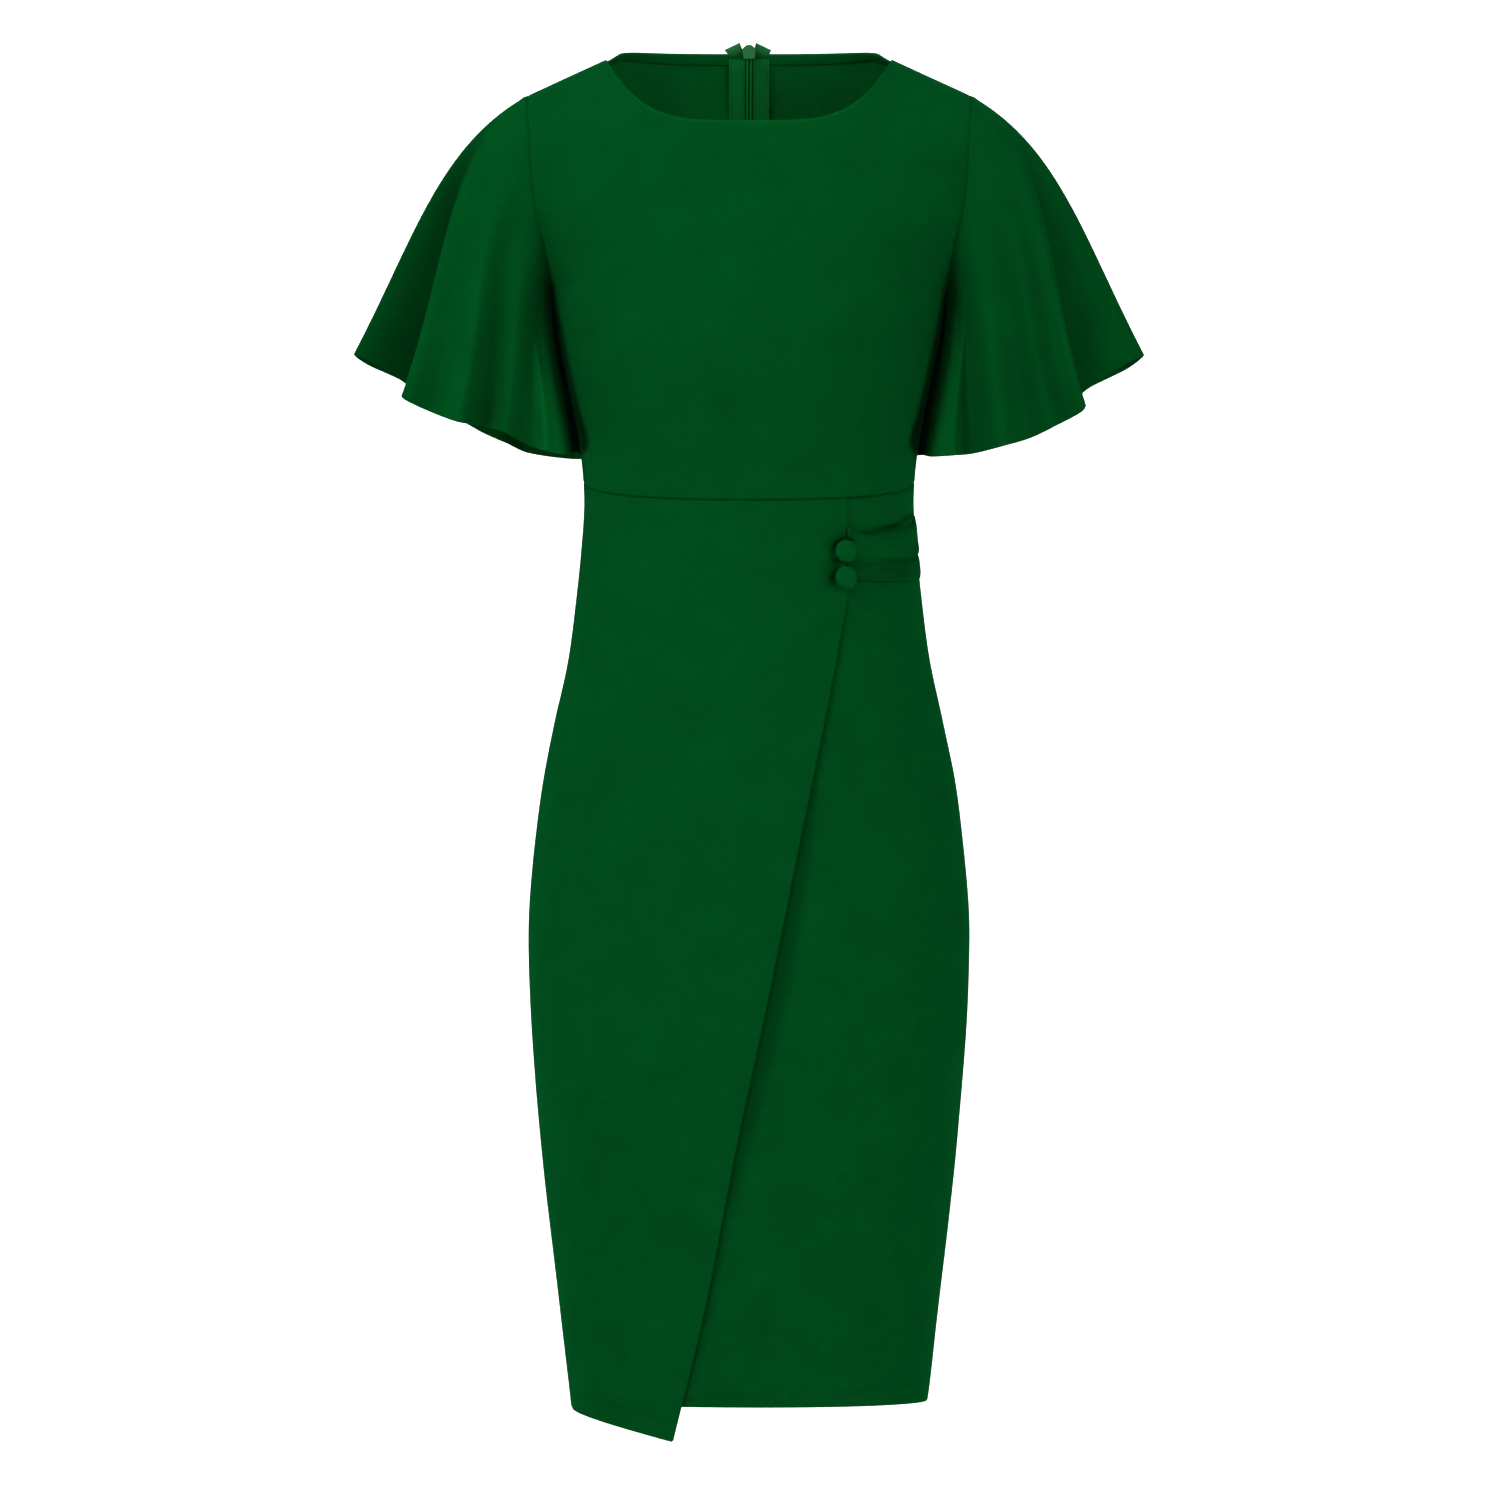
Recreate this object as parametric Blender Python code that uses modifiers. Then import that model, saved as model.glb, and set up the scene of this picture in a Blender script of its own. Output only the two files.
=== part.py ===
"""A knee-length bodycon dress, filled out as a general figure would fill it and hollow inside.

Metres, +Z up. The front faces -Y and the wearer's left is +X. The origin lies midway between the
neck ends of the two shoulder seams, where the shoulders hold the dress. Every cloth piece is a
closed wall, worked out from one smooth body surface or from an armhole and a hem, and
neighbouring pieces keep the width of a seam between them.
"""

from bisect import bisect_right
from collections import namedtuple
from math import acos, asin, copysign, cos, pi, radians, sin, sqrt

import bmesh
import bpy
from mathutils import Matrix, Vector

NAME = "bodycon_dress"

# Driving dimensions, in metres.
WALL = 0.0013             # one thickness of the crepe
HEM_WALL = 0.0025         # where the crepe is turned in and doubled
SEAM = 0.0003             # space kept between sewn pieces
NECK_HALF = 0.1075        # half the distance between the neck ends of the shoulder seams
NECK_LEVEL = -0.0015      # level of those ends
RIDGE_RISE = 0.028        # how far the shoulders' ridge would climb on to the middle of the neck
RIDGE_CLEAR = 0.0002      # the back neckline stays this far beneath that ridge
FRONT_NECK_DROP = 0.0531
FRONT_NECK_SQUARE = 4.1   # the higher, the squarer the neckline's corners
BACK_NECK_RISE = 0.0082
BACK_NECK_SQUARE = 12
NECK_HEM = 0.0100         # depth of the turned band at the neck
TIP_LEVEL = -0.0285       # level of the shoulder tips
UNDERARM_LEVEL = -0.174
WAIST_SIDE = -0.318       # level of the waist seam at the side seams
WAIST_DIP = 0.0176        # how far the seam dips at the centre front
WAIST_DIP_SQUARE = 2.2    # the higher, the nearer the side seams it stays down
HEM_LEVEL = -1.003
ARMHOLE_REACH = 0.050     # half the width of an armhole, front to back
ARMHOLE_TURN = 0.070      # height of the armhole's rounded bottom
ROLL_CENTRE = 0.107       # height over which the front rolls back to the shoulder line
ROLL_TIP = 0.062
FULLNESS = 0.88           # below 1 a section is fuller than an ellipse
LAYER = WALL + 0.0009     # how far a covered layer lies beneath the one on top

# Level below the shoulder points, half width at the side, reach of the front and of the back.
Section = namedtuple("Section", "drop half front back")
SECTIONS = (
    Section(0.000, 0.1660, 0.0660, 0.0600),
    Section(0.030, 0.1660, 0.0720, 0.0740),
    Section(0.060, 0.1640, 0.0790, 0.0850),
    Section(0.090, 0.1620, 0.0860, 0.0920),
    Section(0.115, 0.1595, 0.0920, 0.0965),
    Section(0.145, 0.1520, 0.1000, 0.1000),
    Section(0.174, 0.1480, 0.1060, 0.1020),
    Section(0.212, 0.1425, 0.1120, 0.1010),
    Section(0.256, 0.1335, 0.1080, 0.0930),
    Section(0.294, 0.1268, 0.0990, 0.0830),
    Section(0.330, 0.1237, 0.0930, 0.0770),
    Section(0.362, 0.1253, 0.0935, 0.0790),
    Section(0.407, 0.1298, 0.0980, 0.0900),
    Section(0.452, 0.1358, 0.1025, 0.1020),
    Section(0.497, 0.1455, 0.1055, 0.1130),
    Section(0.542, 0.1545, 0.1070, 0.1210),
    Section(0.587, 0.1605, 0.1075, 0.1260),
    Section(0.632, 0.1646, 0.1070, 0.1280),
    Section(0.665, 0.1654, 0.1065, 0.1285),
    Section(0.722, 0.1635, 0.1045, 0.1260),
    Section(0.789, 0.1583, 0.1010, 0.1180),
    Section(0.857, 0.1515, 0.0965, 0.1090),
    Section(0.924, 0.1436, 0.0915, 0.1000),
    Section(1.003, 0.1343, 0.0855, 0.0910),
    Section(1.045, 0.1295, 0.0825, 0.0870),
)

# The diagonal edge of the wrap: level, and the distance from the centre line to the wearer's left.
Edge = namedtuple("Edge", "level across")
WRAP_EDGE = (
    Edge(-0.325, 0.0715),
    Edge(-0.405, 0.0715),
    Edge(-0.430, 0.0675),
    Edge(-0.482, 0.0578),
    Edge(-0.592, 0.0352),
    Edge(-0.704, 0.0125),
    Edge(-0.811, -0.0104),
    Edge(-0.930, -0.0334),
    Edge(-1.029, -0.0573),
)
WRAP_HEM_SIDE = -1.010    # level of the wrap's hem near the right side seam
WRAP_POINT = -1.029       # level of its point
WRAP_CORNER = 0.10        # share of half a front over which the hem's corner at the side is rounded
WRAP_POINT_FROM = 0.75    # share of half a front from which the hem runs level to its point
UNDER_REACH = 0.085       # how far the under panel goes on beneath the wrap
UNDER_RISE = (0.12, 0.92)  # from the wrap's edge to the side seam, where it starts and ends rising level

# A sleeve's hem, from the underarm seam round the front to the outermost fold and round the back:
# share of the way round, distance out from the centre line, towards the back, level.
Fold = namedtuple("Fold", "share out back level")
RIGHT_SLEEVE = (
    Fold(0.000, 0.1285, 0.000, -0.2955),
    Fold(0.045, 0.1350, -0.026, -0.2985),
    Fold(0.090, 0.1480, -0.052, -0.2980),
    Fold(0.135, 0.1610, -0.039, -0.2940),
    Fold(0.185, 0.1800, -0.065, -0.2847),
    Fold(0.235, 0.1960, -0.049, -0.2794),
    Fold(0.290, 0.2150, -0.070, -0.2770),
    Fold(0.340, 0.2350, -0.052, -0.2690),
    Fold(0.390, 0.2560, -0.056, -0.2590),
    Fold(0.420, 0.2570, -0.034, -0.2550),
    Fold(0.450, 0.2520, -0.013, -0.2490),
    Fold(0.478, 0.2800, -0.004, -0.2300),
    Fold(0.502, 0.2970, 0.010, -0.2220),
    Fold(0.526, 0.2880, 0.027, -0.2282),
    Fold(0.560, 0.2600, 0.032, -0.2415),
    Fold(0.605, 0.2500, 0.060, -0.2550),
    Fold(0.655, 0.2270, 0.048, -0.2650),
    Fold(0.710, 0.2070, 0.070, -0.2750),
    Fold(0.765, 0.1870, 0.051, -0.2850),
    Fold(0.820, 0.1710, 0.065, -0.2920),
    Fold(0.880, 0.1450, 0.054, -0.2970),
    Fold(0.940, 0.1250, 0.040, -0.2985),
)
LEFT_SLEEVE = (
    Fold(0.000, 0.1285, 0.000, -0.2975),
    Fold(0.045, 0.1350, -0.028, -0.3005),
    Fold(0.090, 0.1500, -0.053, -0.3010),
    Fold(0.140, 0.1655, -0.038, -0.2990),
    Fold(0.195, 0.1860, -0.064, -0.2950),
    Fold(0.250, 0.2060, -0.056, -0.2890),
    Fold(0.305, 0.2240, -0.068, -0.2810),
    Fold(0.350, 0.2370, -0.052, -0.2740),
    Fold(0.392, 0.2490, -0.055, -0.2660),
    Fold(0.420, 0.2490, -0.034, -0.2600),
    Fold(0.450, 0.2480, -0.014, -0.2530),
    Fold(0.478, 0.2780, -0.004, -0.2320),
    Fold(0.502, 0.2970, 0.010, -0.2225),
    Fold(0.526, 0.2860, 0.028, -0.2310),
    Fold(0.560, 0.2580, 0.034, -0.2450),
    Fold(0.610, 0.2460, 0.062, -0.2560),
    Fold(0.660, 0.2220, 0.046, -0.2660),
    Fold(0.715, 0.2040, 0.068, -0.2750),
    Fold(0.775, 0.1840, 0.050, -0.2840),
    Fold(0.830, 0.1690, 0.063, -0.2900),
    Fold(0.885, 0.1450, 0.054, -0.2940),
    Fold(0.940, 0.1250, 0.040, -0.2960),
)
CAP_ROUND = 0.076         # how far a sleeve leaves the shoulder before it falls
CAP_SLOPE = Vector((0.88, 0.0, -0.475))
FALL_ROUND = 0.098
FALL_STEEPER = 0.24
STAND_OFF = 0.04          # how far a sleeve stands off the dress under the arm, as a share of the cap's lift
STAND_OFF_FRONT = 0.20    # and how much more in front of the underarm
STAND_OFF_TO = 0.18       # up to this share of the way round
SLEEVE_AWAY = (1.0, 0.0, 0.9)     # roughly the way a sleeve leaves its armhole
SLEEVE_CLEAR = 0.00035    # space kept between a sleeve and its armhole
SLEEVE_HEM = 0.010
SLEEVE_LONG = 0.120       # length of a sleeve's shorter columns

# The waist tab across its width: share from its lower edge, and how far a pleat stands out.
Pleat = namedtuple("Pleat", "share proud")
TAB_PLEATS = (
    Pleat(0.00, 0.0008),
    Pleat(0.12, 0.0026),
    Pleat(0.30, 0.0022),
    Pleat(0.42, 0.0006),
    Pleat(0.50, 0.0030),
    Pleat(0.70, 0.0026),
    Pleat(0.90, 0.0022),
    Pleat(1.00, 0.0008),
)
# Along the tab from its free end: share of its length, and the share of a pleat's height left there.
Gather = namedtuple("Gather", "along height")
TAB_GATHERS = (
    Gather(0.00, 0.30),
    Gather(0.60, 1.00),
    Gather(0.80, 0.80),
    Gather(1.00, 0.30),
)
TAB_END = 0.0665          # the tab's free end, from the centre line
TAB_SIDE = 0.995          # its other end, as a share of the way round to the side seam
TAB_TOP = (-0.3545, -0.3435)      # level of its upper edge at the buttons and at the side seam
TAB_BOTTOM = (-0.3940, -0.3890)   # level of its lower edge at the same two places
TAB_TOP_BEND = 1.6        # the higher, the nearer the side seam the upper edge climbs
TAB_CLEAR = 0.0010        # space beneath the tab

BUTTON_ACROSS = 0.0168
BUTTON_HIGH = 0.0062
BUTTON_SIDE = 0.30        # share of its height below the dome
BUTTON_FOOT = 0.86        # radius of its foot as a share of its own
BUTTON_SEAT = 0.0041      # height of its foot over the dress
BUTTON_LEVELS = {"button_upper": -0.3735, "button_lower": -0.3930}
BUTTON_FROM_CENTRE = 0.0712

TAPE_WIDE = 0.0120
TAPE_THICK = 0.0010
TAPE_FROM_CENTRE = 0.0031
CHAIN_HALF = 0.0027
CHAIN_THICK = 0.0018
ZIP_END = -0.510          # the zip ends just above this level
ZIP_TOP = 0.0060          # the chain ends here, behind the slider
ZIP_CLEAR = 0.0004        # space between the panels and the zip
TAPE_EAR = (0.0143, 0.0100)       # level of a tape's folded end, beside the chain and away from it
EAR_SPREAD = 0.0016       # how far that end leans aside
EAR_LEAN = 0.0010         # and back
# The folded end from its peak down: share of its height, share of its lean.
EAR_FOLDS = ((1.0, 1.0), (0.45, 0.5))
SLIDER_FOOT = 0.0029      # level of the slider's narrow end
SLIDER_THICK = 0.0040
SLIDER_EDGE = 0.0003      # rounding of its edges
SLIDER_CLEAR = 0.0004     # space between it and the tapes
# The slider's outline: distance from its middle, and height above its foot.
SLIDER_OUTLINE = (
    (0.0036, 0.0), (0.0047, 0.0074), (0.0034, 0.0088), (0.0018, 0.0100), (0.0, 0.0104),
)
BRIDGE_WIRE = 0.0012
BRIDGE_HIGH = 0.0032      # height at which the bridge passes over the neck edge
BRIDGE_OVER = 0.0010      # how far behind that edge it turns down
BRIDGE_LIFT = 0.0002
BRIDGE_ARCH = (180, -30)  # degrees of the arch about the pull's axis
BRIDGE_STEPS = 10
BRIDGE_ROUND = 0.0027     # radius of the bridge's arch about the pull's axis
BACK_SLOPE = 45           # degrees the upper back leans from upright at the neck
PULL_LEAN = 3             # degrees by which the hanging pull dips towards the cloth
PULL_DOWN = 0.0075        # the pull's axis, down the back from the neck edge
PULL_OFF = 0.0032         # and out from it
PULL_LONG = 0.0250
PULL_WIDE = 0.0070
PULL_THICK = 0.0013
PULL_BAR = 0.0007         # half the width of the bar across the pull's end
PULL_BAR_HALF = 0.0022    # half the length of that bar
# The pull's side below the bar: distance from its middle, distance from its axis.
PULL_SIDE = ((0.0024, 0.0052), (0.0021, 0.0085))
PULL_EYE_LONG = 0.0027
PULL_EYE_WIDE = 0.0026

# How finely the pieces are divided.
NECK_COLUMNS = 7          # on each side of the centre
SHOULDER_COLUMNS = 3
WAIST_ROWS = 5
ARMHOLE_ROWS = 13
SKIRT_ROWS = 15
WRAP_COLUMNS = 16
UNDER_COLUMNS = 13
BACK_COLUMNS = 9
SLEEVE_ROWS = 9
TAB_COLUMNS = 8
TAB_ROWS = 12
ROUND_STEPS = 16
DOME_STEPS = 5
PULL_STEPS = 8
SHARP_ANGLE = 0.7         # radians, beyond which an edge is shaded sharp
NORMAL_STEP = 1e-3        # how far apart points lie from which a normal is worked out
EDGE_ROUNDS = 6           # times a column's top is worked out anew
CORNER_SEARCH = (0.3, 0.9)        # the neck's corner column lies between these
CORNER_ROUNDS = 40


def clear_scene():
    """Remove whatever the scene holds."""
    for thing in list(bpy.data.objects):
        bpy.data.objects.remove(thing, do_unlink=True)


def smooth(knots, values, at):
    """The value at a place on a smooth curve through the knots, level past both ends."""
    if at <= knots[0]:
        return values[0]
    if at >= knots[-1]:
        return values[-1]
    last = len(knots) - 1
    i = bisect_right(knots, at) - 1

    def slope(k):
        before = max(k - 1, 0)
        after = min(k + 1, last)
        return (values[after] - values[before]) / (knots[after] - knots[before])

    wide = knots[i + 1] - knots[i]
    t = (at - knots[i]) / wide
    rise = values[i + 1] - values[i]
    start = slope(i) * wide
    end = slope(i + 1) * wide
    return values[i] + t * (start + t * (3 * rise - 2 * start - end + t * (start + end - 2 * rise)))


DROPS = [row.drop for row in SECTIONS]
COLUMNS = {name: [getattr(row, name) for row in SECTIONS] for name in ("half", "front", "back")}


def section(name, z):
    """A size of the body's section at a level."""
    return smooth(DROPS, COLUMNS[name], -z)


def shoulder_line(x):
    """The level of the ridge where front and back meet, out over the shoulder and in over the neck."""
    share = abs(x) / NECK_HALF
    if share < 1:
        return NECK_LEVEL + RIDGE_RISE * (1 - share**3)
    tip = section("half", TIP_LEVEL)
    return NECK_LEVEL + (TIP_LEVEL - NECK_LEVEL) * (abs(x) - NECK_HALF) / (tip - NECK_HALF)


def neck_edge(x, back):
    """The level of the neckline."""
    share = min(abs(x) / NECK_HALF, 1)
    if back:
        level = NECK_LEVEL + BACK_NECK_RISE * (1 - share**BACK_NECK_SQUARE)
        return min(level, shoulder_line(x) - RIDGE_CLEAR * (share < 1))
    return NECK_LEVEL - FRONT_NECK_DROP * (1 - share**FRONT_NECK_SQUARE)


def armhole_reach(z):
    """How far the armhole's edge stands from the plane of the side seams."""
    rise = min(max((z - UNDERARM_LEVEL) / ARMHOLE_TURN, 0), 1)
    return ARMHOLE_REACH * sqrt(1 - (1 - rise) ** 2)


def widest_angle(z, back):
    """The angle round the section at which the cloth's edge lies: a right angle at a side seam."""
    reach = section("back" if back else "front", z)
    return acos((armhole_reach(z) / reach) ** (1 / FULLNESS))


def body_point(s, z, back):
    """A point of the body's surface; s runs from -1 to 1 between its edges, z is the level."""
    turn = widest_angle(z, back)
    x = section("half", z) * sin(s * turn) / sin(turn)
    straight = cos(s * turn)
    reach = section("back" if back else "front", z)
    reach *= copysign(abs(straight) ** FULLNESS, straight)
    height = ROLL_CENTRE + (ROLL_TIP - ROLL_CENTRE) * s * s
    fall = min(max((shoulder_line(x) - z) / height, 0), 1)
    reach *= sqrt(1 - (1 - fall) ** 2)
    return Vector((x, reach if back else -reach, z))


def normal_at(surface, u, v, low, high):
    """A normal of the surface at u, v, on one side all over, from differences kept inside low..high."""
    across = surface(min(u + NORMAL_STEP, high[0]), v) - surface(max(u - NORMAL_STEP, low[0]), v)
    along = surface(u, min(v + NORMAL_STEP, high[1])) - surface(u, max(v - NORMAL_STEP, low[1]))
    return across.cross(along).normalized()


def waist_seam(s, back):
    """The level of the waist seam, which dips towards the centre front."""
    return WAIST_SIDE - (0 if back else WAIST_DIP * (1 - abs(s) ** WAIST_DIP_SQUARE))


def top_edge(s, back):
    """The level where a bodice column ends: at the neckline or on the shoulder seam."""
    z = TIP_LEVEL
    for _ in range(EDGE_ROUNDS):
        x = body_point(s, z, back).x
        z = neck_edge(x, back) if abs(x) < NECK_HALF else shoulder_line(x)
    return z


def neck_column(back):
    """The s of the column that ends at the neck end of the shoulder seam."""
    low, high = CORNER_SEARCH
    for _ in range(CORNER_ROUNDS):
        middle = (low + high) / 2
        if body_point(middle, NECK_LEVEL, back).x < NECK_HALF:
            low = middle
        else:
            high = middle
    return low


def bodice_surface(back):
    """The bodice as a surface of s and v: v is 0 at the waist, 1 at the underarm, 2 at the top."""
    tops = {}

    def surface(s, v):
        low = waist_seam(s, back)
        if v <= 1:
            return body_point(s, low + (UNDERARM_LEVEL - low) * v, back)
        if s not in tops:
            tops[s] = top_edge(s, back)
        share = (1 - cos(pi * (v - 1))) / 2
        return body_point(s, UNDERARM_LEVEL + (tops[s] - UNDERARM_LEVEL) * share, back)

    return surface


def sheet(surface, us, vs, low, high):
    """A grid of points on a surface and the grid of its outward normals, row by row.

    The side they face is settled once, in the middle, because at a side seam y is 0.
    """
    points = [[surface(u, v) for u in us] for v in vs]
    normals = [[normal_at(surface, u, v, low, high) for u in us] for v in vs]
    j, i = len(vs) // 2, len(us) // 2
    if normals[j][i].y * points[j][i].y < 0:
        normals = [[-normal for normal in row] for row in normals]
    return points, normals


def trim(rows, amount):
    """Draw the edges of a grid of points in by an amount, towards their neighbours."""
    def drawn(point, neighbour):
        return point + (neighbour - point).normalized() * amount

    rows[0] = [drawn(a, b) for a, b in zip(rows[0], rows[1])]
    rows[-1] = [drawn(a, b) for a, b in zip(rows[-1], rows[-2])]
    for row in rows:
        row[0] = drawn(row[0], row[1])
        row[-1] = drawn(row[-1], row[-2])
    return rows


def wall(name, outer, inner, material, ring=False):
    """A closed wall between an outer and an inner grid; a ring closes on itself along its rows."""
    mesh = bmesh.new()
    grids = [[[mesh.verts.new(p) for p in row] for row in grid] for grid in (outer, inner)]
    rows = len(outer)
    columns = len(outer[0])
    spans = columns if ring else columns - 1
    for j in range(rows - 1):
        for i in range(spans):
            k = (i + 1) % columns
            corners = ((j, i), (j, k), (j + 1, k), (j + 1, i))
            a, b, c, d = (outer[row][column] for row, column in corners)
            first = (0, 1, 2), (0, 2, 3)
            second = (0, 1, 3), (1, 2, 3)
            for picks in first if (a - c).length <= (b - d).length else second:
                for grid, order in zip(grids, (picks, picks[::-1])):
                    mesh.faces.new([grid[corners[n][0]][corners[n][1]] for n in order])
    border = []
    for i in range(spans):
        k = (i + 1) % columns
        border.append(((0, k), (0, i)))
        border.append(((rows - 1, i), (rows - 1, k)))
    if not ring:
        for j in range(rows - 1):
            border.append(((j, 0), (j + 1, 0)))
            border.append(((j + 1, columns - 1), (j, columns - 1)))
    for (j, i), (m, n) in border:
        mesh.faces.new((grids[0][j][i], grids[0][m][n], grids[1][m][n], grids[1][j][i]))
    bmesh.ops.recalc_face_normals(mesh, faces=mesh.faces[:])
    if mesh.calc_volume(signed=True) < 0:
        bmesh.ops.reverse_faces(mesh, faces=mesh.faces[:])
    return add_mesh(name, mesh, material)


def add_mesh(name, mesh, material):
    """Put a finished bmesh in the dress's collection under its name."""
    data = bpy.data.meshes.new(name)
    mesh.to_mesh(data)
    mesh.free()
    data.shade_smooth()
    data.set_sharp_from_angle(angle=SHARP_ANGLE)
    thing = bpy.data.objects.new(name, data)
    data.materials.append(material)
    bpy.data.collections[NAME].objects.link(thing)
    return thing


def make_material(name, colour, roughness, metallic=0.0):
    """A plain Principled material."""
    material = bpy.data.materials.new(name)
    material.use_nodes = True
    shader = material.node_tree.nodes["Principled BSDF"]
    shader.inputs["Base Color"].default_value = (*colour, 1)
    shader.inputs["Roughness"].default_value = roughness
    shader.inputs["Metallic"].default_value = metallic
    return material


def moved(points, normals, amount):
    """A grid of points moved out along the normals."""
    return [
        [p + n * amount for p, n in zip(row, row_normals)]
        for row, row_normals in zip(points, normals)
    ]


def thickness(point, back):
    """The bodice's thickness at a point: doubled in the turned band at the neck."""
    in_band = abs(point.x) < NECK_HALF + SEAM and neck_edge(point.x, back) - point.z < NECK_HEM
    return HEM_WALL if in_band else WALL


def bodice_columns(back):
    """The s of each column from the right armhole to the left one, closest near the neck's ends."""
    corner = neck_column(back)
    neck = [corner * sin(pi / 2 * k / NECK_COLUMNS) for k in range(NECK_COLUMNS + 1)]
    shoulder = [corner + (1 - corner) * k / SHOULDER_COLUMNS for k in range(1, SHOULDER_COLUMNS + 1)]
    half = neck + shoulder
    return [-s for s in reversed(half[1:])] + half


def bodice_rows():
    """The v of each row, closest together at the underarm and at the top."""
    low = [k / WAIST_ROWS for k in range(WAIST_ROWS)]
    return low + [1 + k / ARMHOLE_ROWS for k in range(ARMHOLE_ROWS + 1)]


def make_bodice(material):
    """The front and the two backs.

    Returns the armhole edges, which the sleeves take up, and the rows of the left back's inside,
    which the zip lies on, from the top down.
    """
    edges = {}
    inside = []
    for back in (False, True):
        surface = bodice_surface(back)
        columns = bodice_columns(back)
        points, normals = sheet(surface, columns, bodice_rows(), (-1, 0), (1, 2))
        for side, column in (("right", 0), ("left", -1)):
            edges[side, back] = [
                (points[j][column].copy(), normals[j][column].copy())
                for j in range(WAIST_ROWS, len(points))
            ]
        middle = len(columns) // 2
        halves = {"bodice_front": (0, len(columns))}
        if back:
            halves = {"bodice_back_right": (0, middle + 1), "bodice_back_left": (middle, len(columns))}
        for name, (first, last) in halves.items():
            outer = [row[first:last] for row in points]
            facing = [row[first:last] for row in normals]
            inner = [
                [p - n * thickness(p, back) for p, n in zip(row, row_normals)]
                for row, row_normals in zip(outer, facing)
            ]
            if name == "bodice_back_left":
                inside = [(list(row), row_normals) for row, row_normals in zip(inner, facing)][::-1]
            wall(name, trim(outer, SEAM / 2), trim(inner, SEAM / 2), material)
    return edges, inside


def wrap_edge(z):
    """How far the wrap's edge lies to the wearer's left of the centre line."""
    levels = [-row.level for row in WRAP_EDGE]
    return smooth(levels, [row.across for row in WRAP_EDGE], -z)


def column_at(x, z, back=False):
    """The s of the column that passes through x at a level."""
    turn = widest_angle(z, back)
    return asin(min(max(x * sin(turn) / section("half", z), -1), 1)) / turn


def on_front(x, z):
    """A point of the front and the normal there."""
    def surface(u, v):
        return body_point(column_at(u, v), v, False)

    normal = normal_at(surface, x, z, (-1, -2), (1, 1))
    return surface(x, z), normal if normal.y < 0 else -normal


def even(count, first=0.0, last=1.0):
    """Count + 1 evenly spaced numbers."""
    return [first + (last - first) * k / count for k in range(count + 1)]


def make_skirt(material):
    """The wrap, the panel beneath it and the two backs. Returns the rows of the left back's inside."""
    def wrap_hem(s):
        corner = sqrt(min((s + 1) / WRAP_CORNER, 1))
        side = HEM_LEVEL + (WRAP_HEM_SIDE - HEM_LEVEL) * corner
        return side + (WRAP_POINT - WRAP_HEM_SIDE) * min((s + 1) / WRAP_POINT_FROM, 1)

    def wrap_across(share, z):
        return -1 + (column_at(wrap_edge(z), z) + 1) * share

    def wrap_surface(share, v):
        s_top = wrap_across(share, WAIST_SIDE)
        top = waist_seam(s_top, False)
        low = wrap_hem(wrap_across(share, WRAP_POINT))
        z = top + (low - top) * v
        return body_point(wrap_across(share, z), z, False)

    points, normals = sheet(wrap_surface, even(WRAP_COLUMNS), even(SKIRT_ROWS), (0, 0), (1, 1))
    inner = moved(points, normals, -WALL)
    wall("skirt_front_wrap", trim(points, SEAM / 2), trim(inner, SEAM / 2), material)

    def under_across(share, z):
        start = column_at(wrap_edge(z) - UNDER_REACH, z)
        return start + (1 - start) * share

    def under_surface(share, v):
        s_top = under_across(share, WAIST_SIDE)
        top = waist_seam(s_top, False)
        z = top + (HEM_LEVEL - top) * v
        return body_point(under_across(share, z), z, False)

    points, normals = sheet(under_surface, even(UNDER_COLUMNS), even(SKIRT_ROWS), (0, 0), (1, 1))
    outer = []
    inner = []
    for row, row_normals in zip(points, normals):
        sunk = []
        for p in row:
            beside = (p.x - wrap_edge(p.z)) / (section("half", p.z) - wrap_edge(p.z))
            ease = min(max((UNDER_RISE[1] - beside) / (UNDER_RISE[1] - UNDER_RISE[0]), 0), 1)
            sunk.append(LAYER * ease * ease * (3 - 2 * ease))
        outer.append([p - n * by for p, n, by in zip(row, row_normals, sunk)])
        inner.append([p - n * (by + WALL) for p, n, by in zip(row, row_normals, sunk)])
    wall("skirt_front_under", trim(outer, SEAM / 2), trim(inner, SEAM / 2), material)

    def back_surface(s, v):
        return body_point(s, WAIST_SIDE + (HEM_LEVEL - WAIST_SIDE) * v, True)

    for name, first, last in (("skirt_back_right", -1, 0), ("skirt_back_left", 0, 1)):
        columns = even(BACK_COLUMNS, first, last)
        points, normals = sheet(back_surface, columns, even(SKIRT_ROWS), (-1, 0), (1, 1))
        inner = moved(points, normals, -WALL)
        inside = [(list(row), row_normals) for row, row_normals in zip(inner, normals)]
        wall(name, trim(points, SEAM / 2), trim(inner, SEAM / 2), material)
    return inside


def armhole_loop(edges, side):
    """The armhole as the bodice's edge has it, with points added halfway along each stretch."""
    front = edges[side, False]
    back = edges[side, True]
    loop = front[:-1] + back[:0:-1]
    full = []
    for (p, n), (q, m) in zip(loop, loop[1:] + loop[:1]):
        full.append((p, n))
        full.append(((p + q) / 2, (n + m).normalized()))
    return full


def hem_point(folds, share, sign):
    """A point on a smooth closed curve through a sleeve's folds."""
    around = [(row.share - 1, row) for row in folds[-3:]]
    around += [(row.share, row) for row in folds]
    around += [(row.share + 1, row) for row in folds[:3]]
    knots = [knot for knot, _ in around]
    out, back, level = (
        smooth(knots, [getattr(row, name) for _, row in around], share)
        for name in ("out", "back", "level")
    )
    return Vector((sign * out, back, level))


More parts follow.
